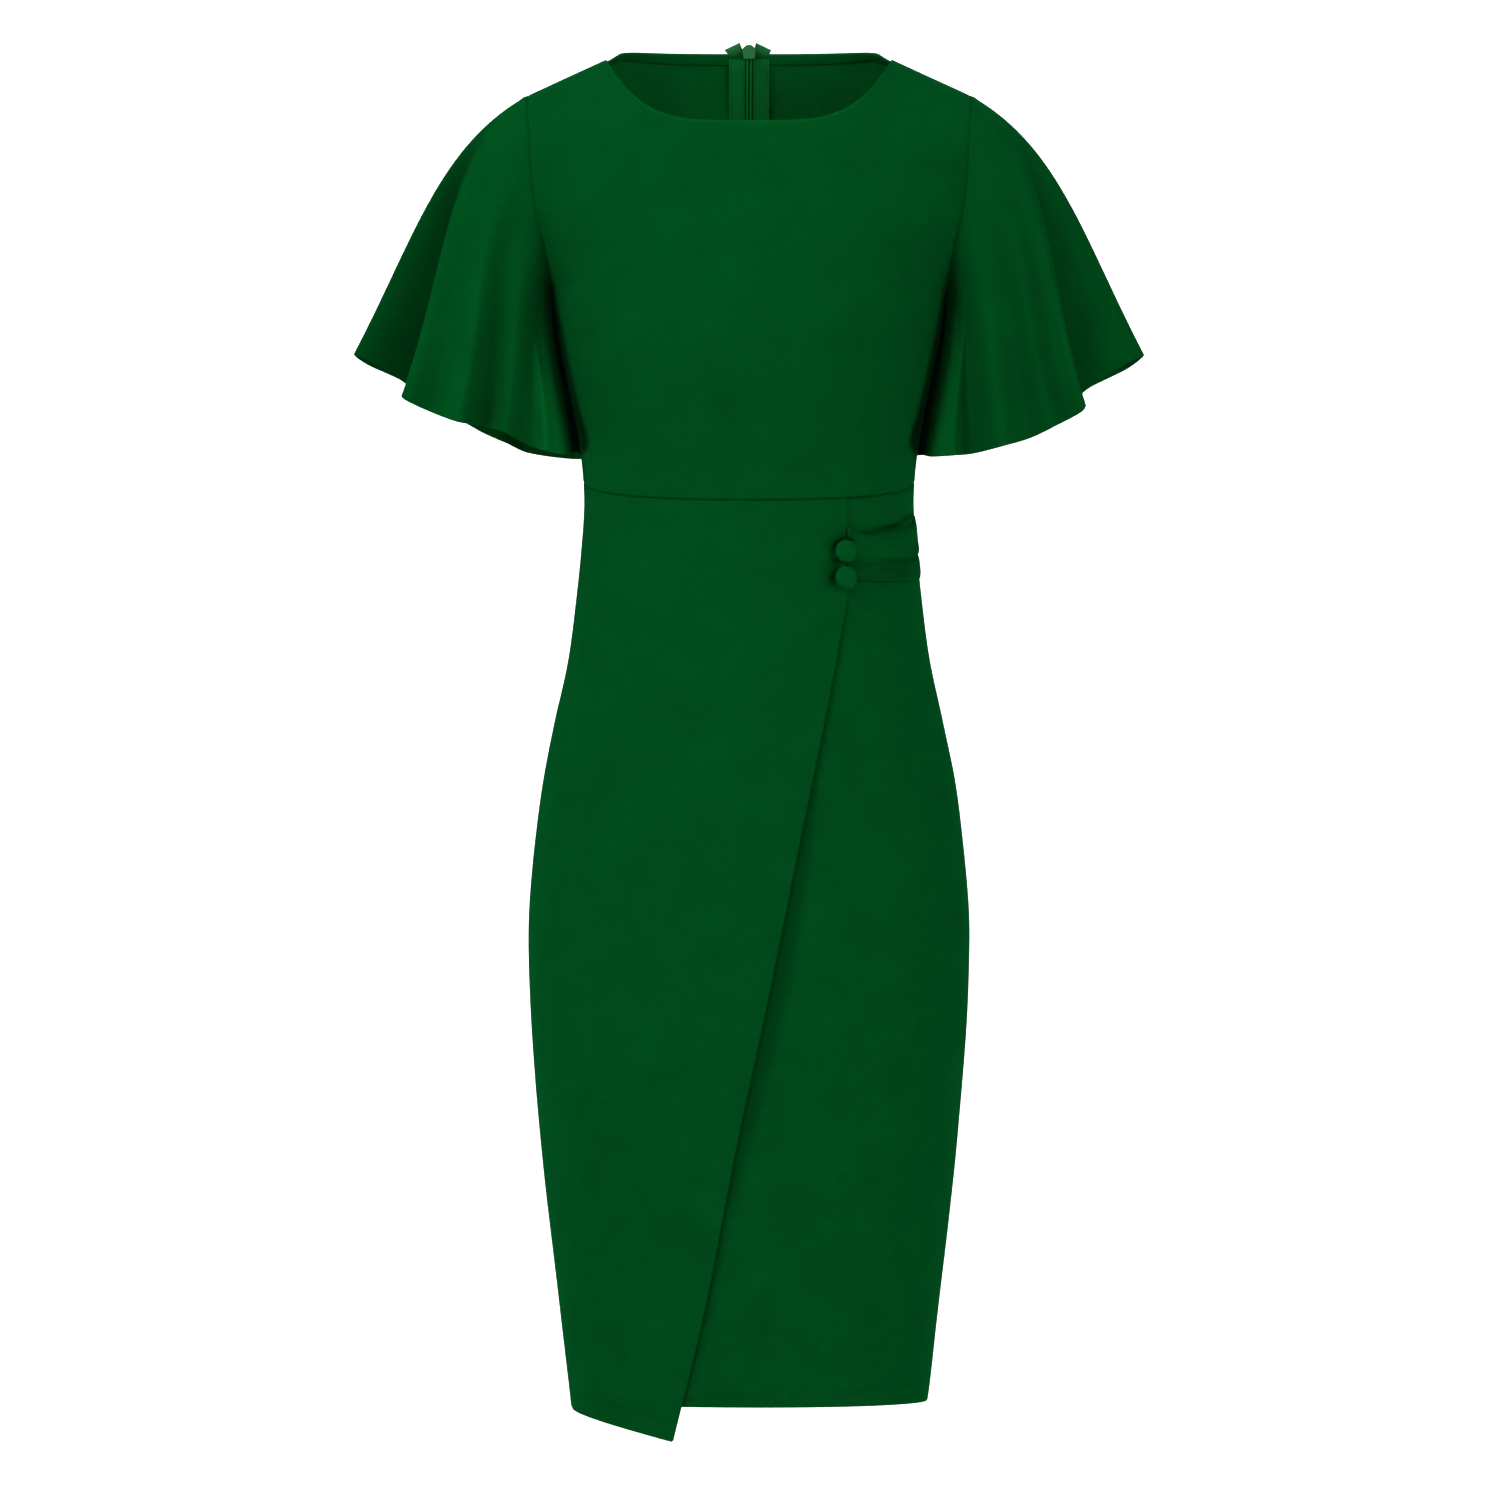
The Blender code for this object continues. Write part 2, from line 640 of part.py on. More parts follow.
def sleeve_path(start, end, sign, share):
    """The four points that steer one column of a sleeve, from the armhole to the hem."""
    lift = STAND_OFF + (1 - STAND_OFF) * sin(pi * share) ** 3
    if share < STAND_OFF_TO:
        lift += STAND_OFF_FRONT * sin(pi * share / STAND_OFF_TO) ** 2
    chord = end - start
    slope = Vector((sign * CAP_SLOPE.x, 0, CAP_SLOPE.z)) * CAP_ROUND
    fall = (chord.normalized() + Vector((0, 0, -FALL_STEEPER * lift))).normalized() * FALL_ROUND
    return start, start + (chord / 3).lerp(slope, lift), end - (chord / 3).lerp(fall, lift), end


def on_path(path, t):
    """A point on the smooth path that four points steer."""
    a, b, c, d = path
    return a * (1 - t) ** 3 + b * (3 * t * (1 - t) ** 2) + c * (3 * t * t * (1 - t)) + d * t**3


def ring_normals(rows):
    """Outward normals of a grid that closes on itself, from the points beside each one."""
    normals = []
    count = len(rows[0])
    for j, row in enumerate(rows):
        above = rows[max(j - 1, 0)]
        below = rows[min(j + 1, len(rows) - 1)]
        line = []
        for i in range(count):
            around = row[(i + 1) % count] - row[i - 1]
            line.append(around.cross(below[i] - above[i]).normalized())
        normals.append(line)
    centre = sum(rows[-1], Vector()) / count
    facing = sum((n.dot(p - centre) for p, n in zip(rows[-1], normals[-1])))
    return normals if facing > 0 else [[-n for n in line] for line in normals]


def make_sleeve(name, edges, side, folds, material):
    """A flutter sleeve: a closed tube from the armhole, whose waves grow towards the hem."""
    sign = 1 if side == "left" else -1
    loop = armhole_loop(edges, side)
    count = len(loop)
    starts = []
    aways = []
    for i, (p, n) in enumerate(loop):
        along = (loop[(i + 1) % count][0] - loop[i - 1][0]).normalized()
        away = n.cross(along).normalized()
        if away.dot(Vector((sign * SLEEVE_AWAY[0], 0, SLEEVE_AWAY[2]))) < 0:
            away = -away
        lift = sin(pi * i / count) ** 2
        clear = (away * lift + n * (1 - lift)).normalized()
        starts.append(p + clear * SLEEVE_CLEAR)
        aways.append(away)
    paths = []
    for i, start in enumerate(starts):
        share = i / count
        paths.append(sleeve_path(start, hem_point(folds, share, sign), sign, share))
    hem_from = 1 - SLEEVE_HEM / SLEEVE_LONG
    steps = even(SLEEVE_ROWS, 0, hem_from) + [1]
    rows = [[on_path(path, t) for path in paths] for t in steps]
    normals = ring_normals(rows)
    for i, (_, body_normal) in enumerate(loop):
        over = (normals[0][i] - body_normal).dot(aways[i])
        normals[0][i] = normals[0][i] - aways[i] * max(over, 0)
    inner = moved(rows, normals, -WALL)
    wall(name, rows, inner, material, ring=True)


def beside(row, x):
    """The point and the normal at a distance from the centre along a row of the left back's inside."""
    points, normals = row
    for i in range(len(points) - 1):
        near = points[i].x
        far = points[i + 1].x
        if near <= x <= far or i == len(points) - 2:
            t = (x - near) / (far - near)
            return points[i].lerp(points[i + 1], t), normals[i].lerp(normals[i + 1], t).normalized()
    return points[0], normals[0]


def mirrored(rows):
    """The same grid on the other side of the centre."""
    return [[Vector((-p.x, p.y, p.z)) for p in row] for row in rows]


def make_zip(inside, tape, metal):
    """The two tapes with their folded ends, and the closed chain between them."""
    rows = [row for row in inside if row[0][0].z > ZIP_END]
    places = [TAPE_FROM_CENTRE + TAPE_WIDE * k / 2 for k in range(3)]
    outer = []
    inner = []
    for share, lean in EAR_FOLDS:
        ear = []
        for k, x in enumerate(places):
            p, n = beside(rows[0], x)
            peak = TAPE_EAR[0] + (TAPE_EAR[1] - TAPE_EAR[0]) * k / 2
            z = p.z + (peak - p.z) * share
            ear.append(Vector((x + EAR_SPREAD * lean, p.y - ZIP_CLEAR + EAR_LEAN * lean, z)))
        outer.append(ear)
        inner.append([p - Vector((0, TAPE_THICK, 0)) for p in ear])
    for row in rows:
        line = [beside(row, x) for x in places]
        outer.append([p - n * ZIP_CLEAR for p, n in line])
        inner.append([p - n * (ZIP_CLEAR + TAPE_THICK) for p, n in line])
    wall("zip_tape_left", outer, inner, tape)
    wall("zip_tape_right", mirrored(outer), mirrored(inner), tape)

    outer = []
    inner = []
    for row in rows:
        p, n = beside(row, 0)
        q, m = beside(row, CHAIN_HALF)
        if p.z > ZIP_TOP:
            continue
        across = [Vector((-q.x, q.y, q.z)), p, q]
        facing = [Vector((-m.x, m.y, m.z)), n, m]
        outer.append([a - b * ZIP_CLEAR for a, b in zip(across, facing)])
        inner.append([a - b * (ZIP_CLEAR + CHAIN_THICK) for a, b in zip(across, facing)])
    wall("zip_chain", outer, inner, metal)


def as_mesh(thing):
    """The bmesh of a curve as drawn, its caps welded, in world space. The curve is removed."""
    seen = thing.evaluated_get(bpy.context.evaluated_depsgraph_get())
    data = bpy.data.meshes.new_from_object(seen)
    mesh = bmesh.new()
    mesh.from_mesh(data)
    mesh.transform(thing.matrix_world)
    bmesh.ops.remove_doubles(mesh, verts=mesh.verts[:], dist=1e-6)
    bpy.data.objects.remove(thing, do_unlink=True)
    return mesh


def make_curve(name, outlines, closed=True, **settings):
    """A curve object of straight runs through points, with the settings given."""
    data = bpy.data.curves.new(name, "CURVE")
    for outline in outlines:
        line = data.splines.new("POLY")
        line.points.add(len(outline) - 1)
        for point, place in zip(line.points, outline):
            point.co = (*place, 1)
        line.use_cyclic_u = closed
    for setting, value in settings.items():
        setattr(data, setting, value)
    thing = bpy.data.objects.new(name, data)
    bpy.data.collections[NAME].objects.link(thing)
    return thing


def back_frame(inside):
    """The neck edge at the centre back, the way down the back from it and the way out of it."""
    edge = inside[0][0][0] + inside[0][1][0] * HEM_WALL
    turn = radians(BACK_SLOPE)
    return edge, Vector((0, sin(turn), -cos(turn))), Vector((0, cos(turn), sin(turn)))


def make_slider(inside, metal):
    """The slider inside the neck, with the bridge that reaches over the edge and holds the pull."""
    edge, down, out = back_frame(inside)
    right = list(SLIDER_OUTLINE)
    outline = [(x, z, 0) for x, z in right] + [(-x, z, 0) for x, z in right[-2::-1]]
    body = make_curve(
        "slider_outline", [outline], dimensions="2D", fill_mode="BOTH", bevel_resolution=1,
        extrude=SLIDER_THICK / 2 - SLIDER_EDGE, bevel_depth=SLIDER_EDGE,
    )
    inner_face = inside[0][0][0].y - ZIP_CLEAR - TAPE_THICK - SLIDER_CLEAR
    body.matrix_world = Matrix.Translation((0, inner_face - SLIDER_THICK / 2, SLIDER_FOOT))
    body.matrix_world @= Matrix.Rotation(pi / 2, 4, "X")
    bpy.context.view_layer.update()
    block = add_mesh("zip_slider", as_mesh(body), metal)

    pivot = edge + down * PULL_DOWN + out * PULL_OFF
    start = Vector((0, inner_face - SLIDER_THICK / 2, edge.z + BRIDGE_HIGH))
    over = Vector((0, edge.y + BRIDGE_OVER, edge.z + BRIDGE_HIGH))
    arch = [
        pivot + (down * cos(turn) + out * sin(turn)) * BRIDGE_ROUND
        for turn in (radians(angle) for angle in even(BRIDGE_STEPS, *BRIDGE_ARCH))
    ]
    path = [start, over, over.lerp(arch[0], 0.5) + out * BRIDGE_LIFT, *arch]
    wire = make_curve(
        "bridge", [path], closed=False, dimensions="3D", bevel_depth=BRIDGE_WIRE / 2,
        bevel_resolution=1, use_fill_caps=True,
    )
    bpy.context.view_layer.update()
    bridge = add_mesh("bridge_wire", as_mesh(wire), metal)
    bpy.data.collections["cutters"].objects.link(bridge)
    bpy.data.collections[NAME].objects.unlink(bridge)
    bridge.hide_render = True
    bridge.display_type = "WIRE"
    join = block.modifiers.new("bridge", "BOOLEAN")
    join.operation = "UNION"
    join.object = bridge
    return pivot


def make_pull(pivot, metal):
    """The pull tab, drawn flat with its eye and laid on the slope of the back at its axis."""
    half = PULL_WIDE / 2
    top = [(-PULL_BAR_HALF, -PULL_BAR), (PULL_BAR_HALF, -PULL_BAR)]
    drop = PULL_LONG - half
    end = [(half * cos(t), drop + half * sin(t)) for t in even(PULL_STEPS, 0, pi)]
    left = [(-x, y) for x, y in reversed(PULL_SIDE)]
    outline = [(x, y, 0) for x, y in [*top, *PULL_SIDE, *end, *left]]
    eye = (PULL_EYE_WIDE / 2, PULL_BAR + PULL_EYE_LONG)
    hole = [(-eye[0], PULL_BAR), (eye[0], PULL_BAR), eye, (-eye[0], eye[1])]
    plate = make_curve(
        "pull_outline", [outline, [(x, y, 0) for x, y in hole]], dimensions="2D", fill_mode="BOTH",
        extrude=PULL_THICK / 2,
    )
    mesh = as_mesh(plate)
    pull = add_mesh("zip_pull", mesh, metal)
    lean = Matrix.Rotation(-radians(BACK_SLOPE + PULL_LEAN), 4, "X")
    pull.matrix_world = Matrix.Translation(pivot) @ lean


def make_tab(material):
    """The pleated tab, from the left side seam to the buttons, a little off the cloth beneath it."""
    shares = [row.share for row in TAB_PLEATS]
    proud = [row.proud for row in TAB_PLEATS]
    alongs = [row.along for row in TAB_GATHERS]
    heights = [row.height for row in TAB_GATHERS]

    def surface(along, up):
        bottom = TAB_BOTTOM[0] + (TAB_BOTTOM[1] - TAB_BOTTOM[0]) * along
        top = TAB_TOP[0] + (TAB_TOP[1] - TAB_TOP[0]) * along**TAB_TOP_BEND
        z = bottom + (top - bottom) * up
        start = column_at(TAB_END, z)
        return body_point(start + (TAB_SIDE - start) * along, z, False)

    points, normals = sheet(surface, even(TAB_COLUMNS), even(TAB_ROWS), (0, 0), (1, 1))
    outer = []
    inner = []
    for j, (row, row_normals) in enumerate(zip(points, normals)):
        ridge = smooth(shares, proud, j / TAB_ROWS)
        stand = [TAB_CLEAR + ridge * smooth(alongs, heights, along) for along in even(TAB_COLUMNS)]
        inner.append([p + n * by for p, n, by in zip(row, row_normals, stand)])
        outer.append([p + n * (by + WALL) for p, n, by in zip(row, row_normals, stand)])
    wall("waist_tab", outer, inner, material)


def make_button(name, level, material):
    """A cloth-covered dome, turned from its profile and set on the tab's end."""
    radius = BUTTON_ACROSS / 2
    dome = [
        (radius * sin(t), BUTTON_HIGH * (BUTTON_SIDE + (1 - BUTTON_SIDE) * cos(t)))
        for t in even(DOME_STEPS, 0, pi / 2)
    ]
    profile = dome + [(radius * BUTTON_FOOT, 0.0), (0.0, 0.0)]
    mesh = bmesh.new()
    corners = [mesh.verts.new((x, 0, z)) for x, z in profile]
    for a, b in zip(corners, corners[1:]):
        mesh.edges.new((a, b))
    button = add_mesh(name, mesh, material)
    turned = button.modifiers.new("turned", "SCREW")
    turned.axis = "Z"
    turned.steps = ROUND_STEPS
    turned.render_steps = ROUND_STEPS
    turned.use_merge_vertices = True
    turned.merge_threshold = 0.00005
    point, normal = on_front(BUTTON_FROM_CENTRE, level)
    seat = point + normal * BUTTON_SEAT
    facing = normal.to_track_quat("Z", "Y").to_matrix().to_4x4()
    button.matrix_world = Matrix.Translation(seat) @ facing


def main():
    """Make every piece of the dress."""
    clear_scene()
    scene = bpy.context.scene
    dress = bpy.data.collections.new(NAME)
    cutters = bpy.data.collections.new("cutters")
    scene.collection.children.link(dress)
    scene.collection.children.link(cutters)
    cloth = make_material("green_crepe", (0.004, 0.065, 0.012), 0.75)
    tape = make_material("green_tape", (0.006, 0.080, 0.018), 0.5)
    metal = make_material("green_metal", (0.010, 0.120, 0.032), 0.35, 0.3)
    edges, bodice_inside = make_bodice(cloth)
    skirt_inside = make_skirt(cloth)
    make_sleeve("sleeve_left", edges, "left", LEFT_SLEEVE, cloth)
    make_sleeve("sleeve_right", edges, "right", RIGHT_SLEEVE, cloth)
    make_tab(cloth)
    for name, level in BUTTON_LEVELS.items():
        make_button(name, level, cloth)
    inside = bodice_inside + skirt_inside[1:]
    make_zip(inside, tape, tape)
    pivot = make_slider(bodice_inside, metal)
    make_pull(pivot, metal)


main()
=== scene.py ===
# %% [markdown]
# # A green crepe dress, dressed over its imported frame
#
# The frame holds the dress as stiff walls at their real size. This lesson lays real-looking cloth
# over them: thin shells with seams, turned edges, folds and a crepe surface. Everything is in metres,
# with +Z up, the front of the dress facing -Y and the wearer's left at +X. "Left" and "right" are
# always the wearer's.

# %% Load the frame
from collections import namedtuple
from math import cos, pi, sin, sqrt

import bmesh
import bpy
import numpy as np
from mathutils import Matrix, Vector


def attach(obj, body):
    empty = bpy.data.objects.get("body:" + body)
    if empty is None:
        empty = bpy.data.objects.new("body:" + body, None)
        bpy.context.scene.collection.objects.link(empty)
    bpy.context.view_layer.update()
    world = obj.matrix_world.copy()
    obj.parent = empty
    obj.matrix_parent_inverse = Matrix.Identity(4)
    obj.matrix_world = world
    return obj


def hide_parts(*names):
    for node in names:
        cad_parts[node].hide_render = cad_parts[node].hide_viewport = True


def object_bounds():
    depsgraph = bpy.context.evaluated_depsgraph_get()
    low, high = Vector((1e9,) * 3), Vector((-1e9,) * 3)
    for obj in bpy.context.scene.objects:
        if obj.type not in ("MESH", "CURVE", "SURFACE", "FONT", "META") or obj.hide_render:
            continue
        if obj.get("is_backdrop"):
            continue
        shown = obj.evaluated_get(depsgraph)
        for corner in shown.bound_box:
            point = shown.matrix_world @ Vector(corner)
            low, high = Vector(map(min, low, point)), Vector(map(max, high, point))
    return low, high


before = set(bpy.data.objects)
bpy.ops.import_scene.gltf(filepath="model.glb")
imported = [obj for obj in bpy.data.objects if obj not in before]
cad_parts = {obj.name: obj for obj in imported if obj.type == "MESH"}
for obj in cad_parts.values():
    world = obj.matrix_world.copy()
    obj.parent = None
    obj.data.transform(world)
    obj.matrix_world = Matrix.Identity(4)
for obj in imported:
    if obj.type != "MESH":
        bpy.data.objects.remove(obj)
cad_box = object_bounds()

# %% [markdown]
# ## The camera
#
# The photo was taken square on to the front, level with the hips and from some way off, so its lines
# hardly converge. A long lens at the same distance gives the same picture. Its width of view is
# worked out from the size of the frame at the dress, which is easier to reason about than an angle.

# %% Camera
CAMERA_BACK = 4.2         # from the plane of the side seams
FRAME_WIDE = 1.125        # what the picture spans at that plane
FRAME_MIDDLE = (0.00075, -0.519)  # where its middle falls, across and up
SENSOR = 36.0

lens = bpy.data.cameras.new("camera")
lens.sensor_width = SENSOR
lens.sensor_fit = "HORIZONTAL"
lens.lens = SENSOR * CAMERA_BACK / FRAME_WIDE
camera = bpy.data.objects.new("camera", lens)
camera.location = (FRAME_MIDDLE[0], -CAMERA_BACK, FRAME_MIDDLE[1])
camera.rotation_euler = (pi / 2, 0, 0)
bpy.context.scene.collection.objects.link(camera)
bpy.context.scene.camera = camera
print("lens", round(lens.lens, 1), "mm")

# %% [markdown]
# ## The studio
#
# The picture is a cut-out on white with soft light: broad, from above and a little from the camera's
# left, with a pale rim on both sides of the dress. A round room with a floor that curves up into its
# wall does this. The wall behind the dress glows white, which also lights the rims; the half behind
# the camera is dimmer, so that the folds keep their shadows. Large soft lights stand in front, named
# as the camera sees them. The plain Standard view keeps the deep green as deep as it is.

# %% Room
FLOOR_LEVEL = -1.42
ROOM = 7.0                # its radius
WALL_HIGH = 6.0
ROOM_BEND = 2.2           # radius of the curve from the floor to the wall
BEND_STEPS = 24
ROOM_STEPS = 72
WORLD_LIGHT = 0.10
GLOW = (0.08, 1.05)       # of the wall in front of the dress, and behind it
GLOW_FROM = (0.7, 4.5)    # how far back the one turns into the other
WHITE = (1.0, 1.0, 1.0, 1)

view = bpy.context.scene.view_settings
view.view_transform = "Standard"
view.look = "None"

world = bpy.data.worlds.new("white room")
world.use_nodes = True
sky = world.node_tree.nodes["Background"].inputs
sky["Color"].default_value = WHITE
sky["Strength"].default_value = WORLD_LIGHT
bpy.context.scene.world = world


def room_paint():
    """Matt white that glows more the further back it is."""
    paint = bpy.data.materials.new("white paint")
    paint.use_nodes = True
    tree = paint.node_tree
    shader = tree.nodes["Principled BSDF"]
    shader.inputs["Base Color"].default_value = (0.80, 0.80, 0.80, 1)
    shader.inputs["Roughness"].default_value = 0.9
    shader.inputs["Emission Color"].default_value = WHITE
    place = tree.nodes.new("ShaderNodeNewGeometry")
    parts = tree.nodes.new("ShaderNodeSeparateXYZ")
    glow = tree.nodes.new("ShaderNodeMapRange")
    glow.interpolation_type = "SMOOTHSTEP"
    for socket, value in zip(("From Min", "From Max", "To Min", "To Max"), (*GLOW_FROM, *GLOW)):
        glow.inputs[socket].default_value = value
    tree.links.new(place.outputs["Position"], parts.inputs["Vector"])
    tree.links.new(parts.outputs["Y"], glow.inputs["Value"])
    tree.links.new(glow.outputs["Result"], shader.inputs["Emission Strength"])
    return paint


def make_room():
    """A round floor whose edge curves up into a wall."""
    profile = [(0.0, 0.0)]
    for k in range(BEND_STEPS + 1):
        t = pi / 2 * k / BEND_STEPS
        profile.append((ROOM - ROOM_BEND + ROOM_BEND * sin(t), ROOM_BEND - ROOM_BEND * cos(t)))
    profile.append((ROOM, WALL_HIGH))
    mesh = bmesh.new()
    corners = [mesh.verts.new((x, 0, z)) for x, z in profile]
    edges = [mesh.edges.new(pair) for pair in zip(corners, corners[1:])]
    bmesh.ops.spin(mesh, geom=corners + edges, cent=(0, 0, 0), axis=(0, 0, 1), angle=2 * pi,
                   steps=ROOM_STEPS, use_duplicate=False)
    bmesh.ops.remove_doubles(mesh, verts=mesh.verts[:], dist=1e-5)
    data = bpy.data.meshes.new("room")
    mesh.to_mesh(data)
    mesh.free()
    data.shade_smooth()
    data.materials.append(room_paint())
    room = bpy.data.objects.new("room", data)
    room.location.z = FLOOR_LEVEL
    bpy.context.scene.collection.objects.link(room)
    room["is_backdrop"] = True


make_room()
print("a room", ROOM, "m in radius, glowing up to", GLOW[1])


# %% Lights
def table(fields, *rows):
    """Rows of given values, whose fields have names."""
    row = namedtuple("Row", fields)
    return [row(*values) for values in rows]


LIGHTS = table(
    "name place aim_level size watts",
    ("front left", (-2.5, -2.9, 2.0), -0.45, 1.3, 114),
    ("front right", (2.9, -3.0, 0.4), -0.5, 1.8, 68),
    ("above left", (-1.1, -0.5, 2.3), -0.3, 1.2, 44),
)


def soft_light(light):
    """A square soft light that faces the dress's middle line at a level."""
    lamp = bpy.data.lights.new(light.name, "AREA")
    lamp.size = light.size
    lamp.energy = light.watts
    thing = bpy.data.objects.new(light.name, lamp)
    thing.location = light.place
    way = Vector((0, 0, light.aim_level)) - Vector(light.place)
    thing.rotation_euler = way.to_track_quat("-Z", "Y").to_euler()
    bpy.context.scene.collection.objects.link(thing)


for light in LIGHTS:
    soft_light(light)
print(len(LIGHTS), "lights,", sum(light.watts for light in LIGHTS), "W")

# %% [markdown]
# ## The shape under the cloth
#
# A fitted dress takes its shape from its cut, so one smooth surface stands for the whole of it: a
# stack of rounded sections whose half width and reach, front and back, change with the level. Nearly
# the same numbers made the frame; a few have moved a little since, to come nearer to the photo. Here
# they are worked out for whole grids of points at once with numpy, because the cloth needs thousands
# of points where the frame needed dozens.

# %% Sizes
NECK_HALF = 0.1075        # half the neck's width, where it meets the shoulder seams
NECK_LEVEL = -0.0015      # and its level there
RIDGE_RISE = 0.028        # how far the line between front and back would arch over the open neck
RIDGE_CLEAR = 0.0002      # how far the back neckline keeps beneath that arch
FRONT_NECK_DROP = 0.0531
FRONT_NECK_SQUARE = 4.1   # the higher, the squarer its corners
BACK_NECK_RISE = 0.0095
BACK_NECK_SQUARE = 14
TIP_LEVEL = -0.0285       # of the shoulder seam's outer end
UNDERARM_LEVEL = -0.174
WAIST_SIDE = -0.318       # level of the waist seam at the side seams
WAIST_DIP = 0.0176        # how much lower it runs in the middle of the front
WAIST_DIP_SQUARE = 2.2
HEM_LEVEL = -1.003
ARMHOLE_REACH = 0.050     # half of an armhole's width from front to back
ARMHOLE_TURN = 0.070      # the height over which it opens to that
ROLL_CENTRE = 0.107       # the height over which the cloth rolls over the shoulder, in the middle
ROLL_TIP = 0.062          # and at the shoulder's end
FULLNESS = 0.88           # below 1, a section is fuller than an ellipse

# How far down, half the width there, and the reach to the front and to the back.
SECTIONS = table(
    "drop half front back",
    (0.000, 0.1660, 0.0660, 0.0600), (0.030, 0.1660, 0.0720, 0.0740), (0.060, 0.1640, 0.0790, 0.0850),
    (0.090, 0.1620, 0.0860, 0.0920), (0.115, 0.1595, 0.0920, 0.0965), (0.145, 0.1520, 0.1000, 0.1000),
    (0.174, 0.1480, 0.1060, 0.1020), (0.212, 0.1425, 0.1120, 0.1010), (0.256, 0.1335, 0.1080, 0.0930),
    (0.294, 0.1268, 0.0990, 0.0830), (0.330, 0.1237, 0.0930, 0.0770), (0.362, 0.1253, 0.0935, 0.0790),
    (0.407, 0.1298, 0.0980, 0.0900), (0.452, 0.1358, 0.1025, 0.1020), (0.497, 0.1455, 0.1055, 0.1130),
    (0.542, 0.1545, 0.1070, 0.1210), (0.587, 0.1605, 0.1075, 0.1260), (0.632, 0.1646, 0.1070, 0.1280),
    (0.665, 0.1654, 0.1065, 0.1285), (0.722, 0.1635, 0.1045, 0.1260), (0.789, 0.1583, 0.1010, 0.1180),
    (0.857, 0.1515, 0.0965, 0.1090), (0.924, 0.1436, 0.0915, 0.1000), (1.003, 0.1343, 0.0855, 0.0910),
    (1.045, 0.1295, 0.0825, 0.0870),
)
print(len(SECTIONS), "sections over", SECTIONS[-1].drop, "m")


# %% Smooth curves
def smooth(knots, values, at):
    """Values on a smooth curve through the knots, level past both ends."""
    knots = np.asarray(knots, float)
    values = np.asarray(values, float)
    last = len(knots) - 1
    at = np.clip(at, knots[0], knots[-1])
    i = np.clip(np.searchsorted(knots, at, side="right") - 1, 0, last - 1)
    before = np.maximum(np.arange(last + 1) - 1, 0)
    after = np.minimum(np.arange(last + 1) + 1, last)
    slope = (values[after] - values[before]) / (knots[after] - knots[before])
    wide = knots[i + 1] - knots[i]
    t = (at - knots[i]) / wide
    rise = values[i + 1] - values[i]
    start = slope[i] * wide
    end = slope[i + 1] * wide
    return values[i] + t * (start + t * (3 * rise - 2 * start - end + t * (start + end - 2 * rise)))


def read_off(rows, key, name, at):
    """A field's value on the smooth curve through a table whose keys rise or fall."""
    knots = np.array([getattr(row, key) for row in rows])
    turn = np.sign(knots[-1] - knots[0])
    return smooth(turn * knots, [getattr(row, name) for row in rows], turn * at)


def section(name, z):
    """A size of the body's section at a level."""
    return read_off(SECTIONS, "drop", name, -z)


print("half width at the hips:", round(float(section("half", -0.665)), 4))


# %% Body surface
EDGE_ROUNDS = 8           # a column's top and its place across depend on each other


def shoulder_line(x):
    """The level of the ridge where front and back meet."""
    share = np.abs(x) / NECK_HALF
    tip = section("half", TIP_LEVEL)
    outside = NECK_LEVEL + (TIP_LEVEL - NECK_LEVEL) * (np.abs(x) - NECK_HALF) / (tip - NECK_HALF)
    return np.where(share < 1, NECK_LEVEL + RIDGE_RISE * (1 - share**3), outside)


def neck_edge(x, back):
    """The level of the neckline."""
    share = np.minimum(np.abs(x) / NECK_HALF, 1)
    if back:
        level = NECK_LEVEL + BACK_NECK_RISE * (1 - share**BACK_NECK_SQUARE)
        return np.minimum(level, shoulder_line(x) - RIDGE_CLEAR * (share < 1))
    return NECK_LEVEL - FRONT_NECK_DROP * (1 - share**FRONT_NECK_SQUARE)


def widest_angle(z, back):
    """The angle round the section at which the cloth's edge lies: a right angle at a side seam."""
    rise = np.clip((z - UNDERARM_LEVEL) / ARMHOLE_TURN, 0, 1)
    opening = ARMHOLE_REACH * np.sqrt(1 - (1 - rise) ** 2)
    return np.arccos((opening / section("back" if back else "front", z)) ** (1 / FULLNESS))


def body(s, z, back):
    """Points of the body's surface; s runs from -1 to 1 between its edges, z is the level."""
    s, z = np.broadcast_arrays(np.asarray(s, float), np.asarray(z, float))
    turn = widest_angle(z, back)
    x = section("half", z) * np.sin(s * turn) / np.sin(turn)
    straight = np.cos(s * turn)
    reach = section("back" if back else "front", z)
    reach = reach * np.copysign(np.abs(straight) ** FULLNESS, straight)
    height = ROLL_CENTRE + (ROLL_TIP - ROLL_CENTRE) * s * s
    fall = np.clip((shoulder_line(x) - z) / height, 0, 1)
    reach = reach * np.sqrt(1 - (1 - fall) ** 2)
    return np.stack([x, reach if back else -reach, z], axis=-1)


def column_at(x, z, back=False):
    """The s of the column that passes through x at a level."""
    turn = widest_angle(z, back)
    return np.arcsin(np.clip(x * np.sin(turn) / section("half", z), -1, 1)) / turn


def waist_seam(s, back):
    """The level of the waist seam."""
    return WAIST_SIDE - (0 if back else WAIST_DIP) * (1 - np.abs(s) ** WAIST_DIP_SQUARE)


def top_edge(s, back):
    """The level where a bodice column ends: at the neckline or on the shoulder seam."""
    z = np.full_like(s, TIP_LEVEL)
    for _ in range(EDGE_ROUNDS):
        x = body(s, z, back)[..., 0]
        z = np.where(np.abs(x) < NECK_HALF, neck_edge(x, back), shoulder_line(x))
    return z


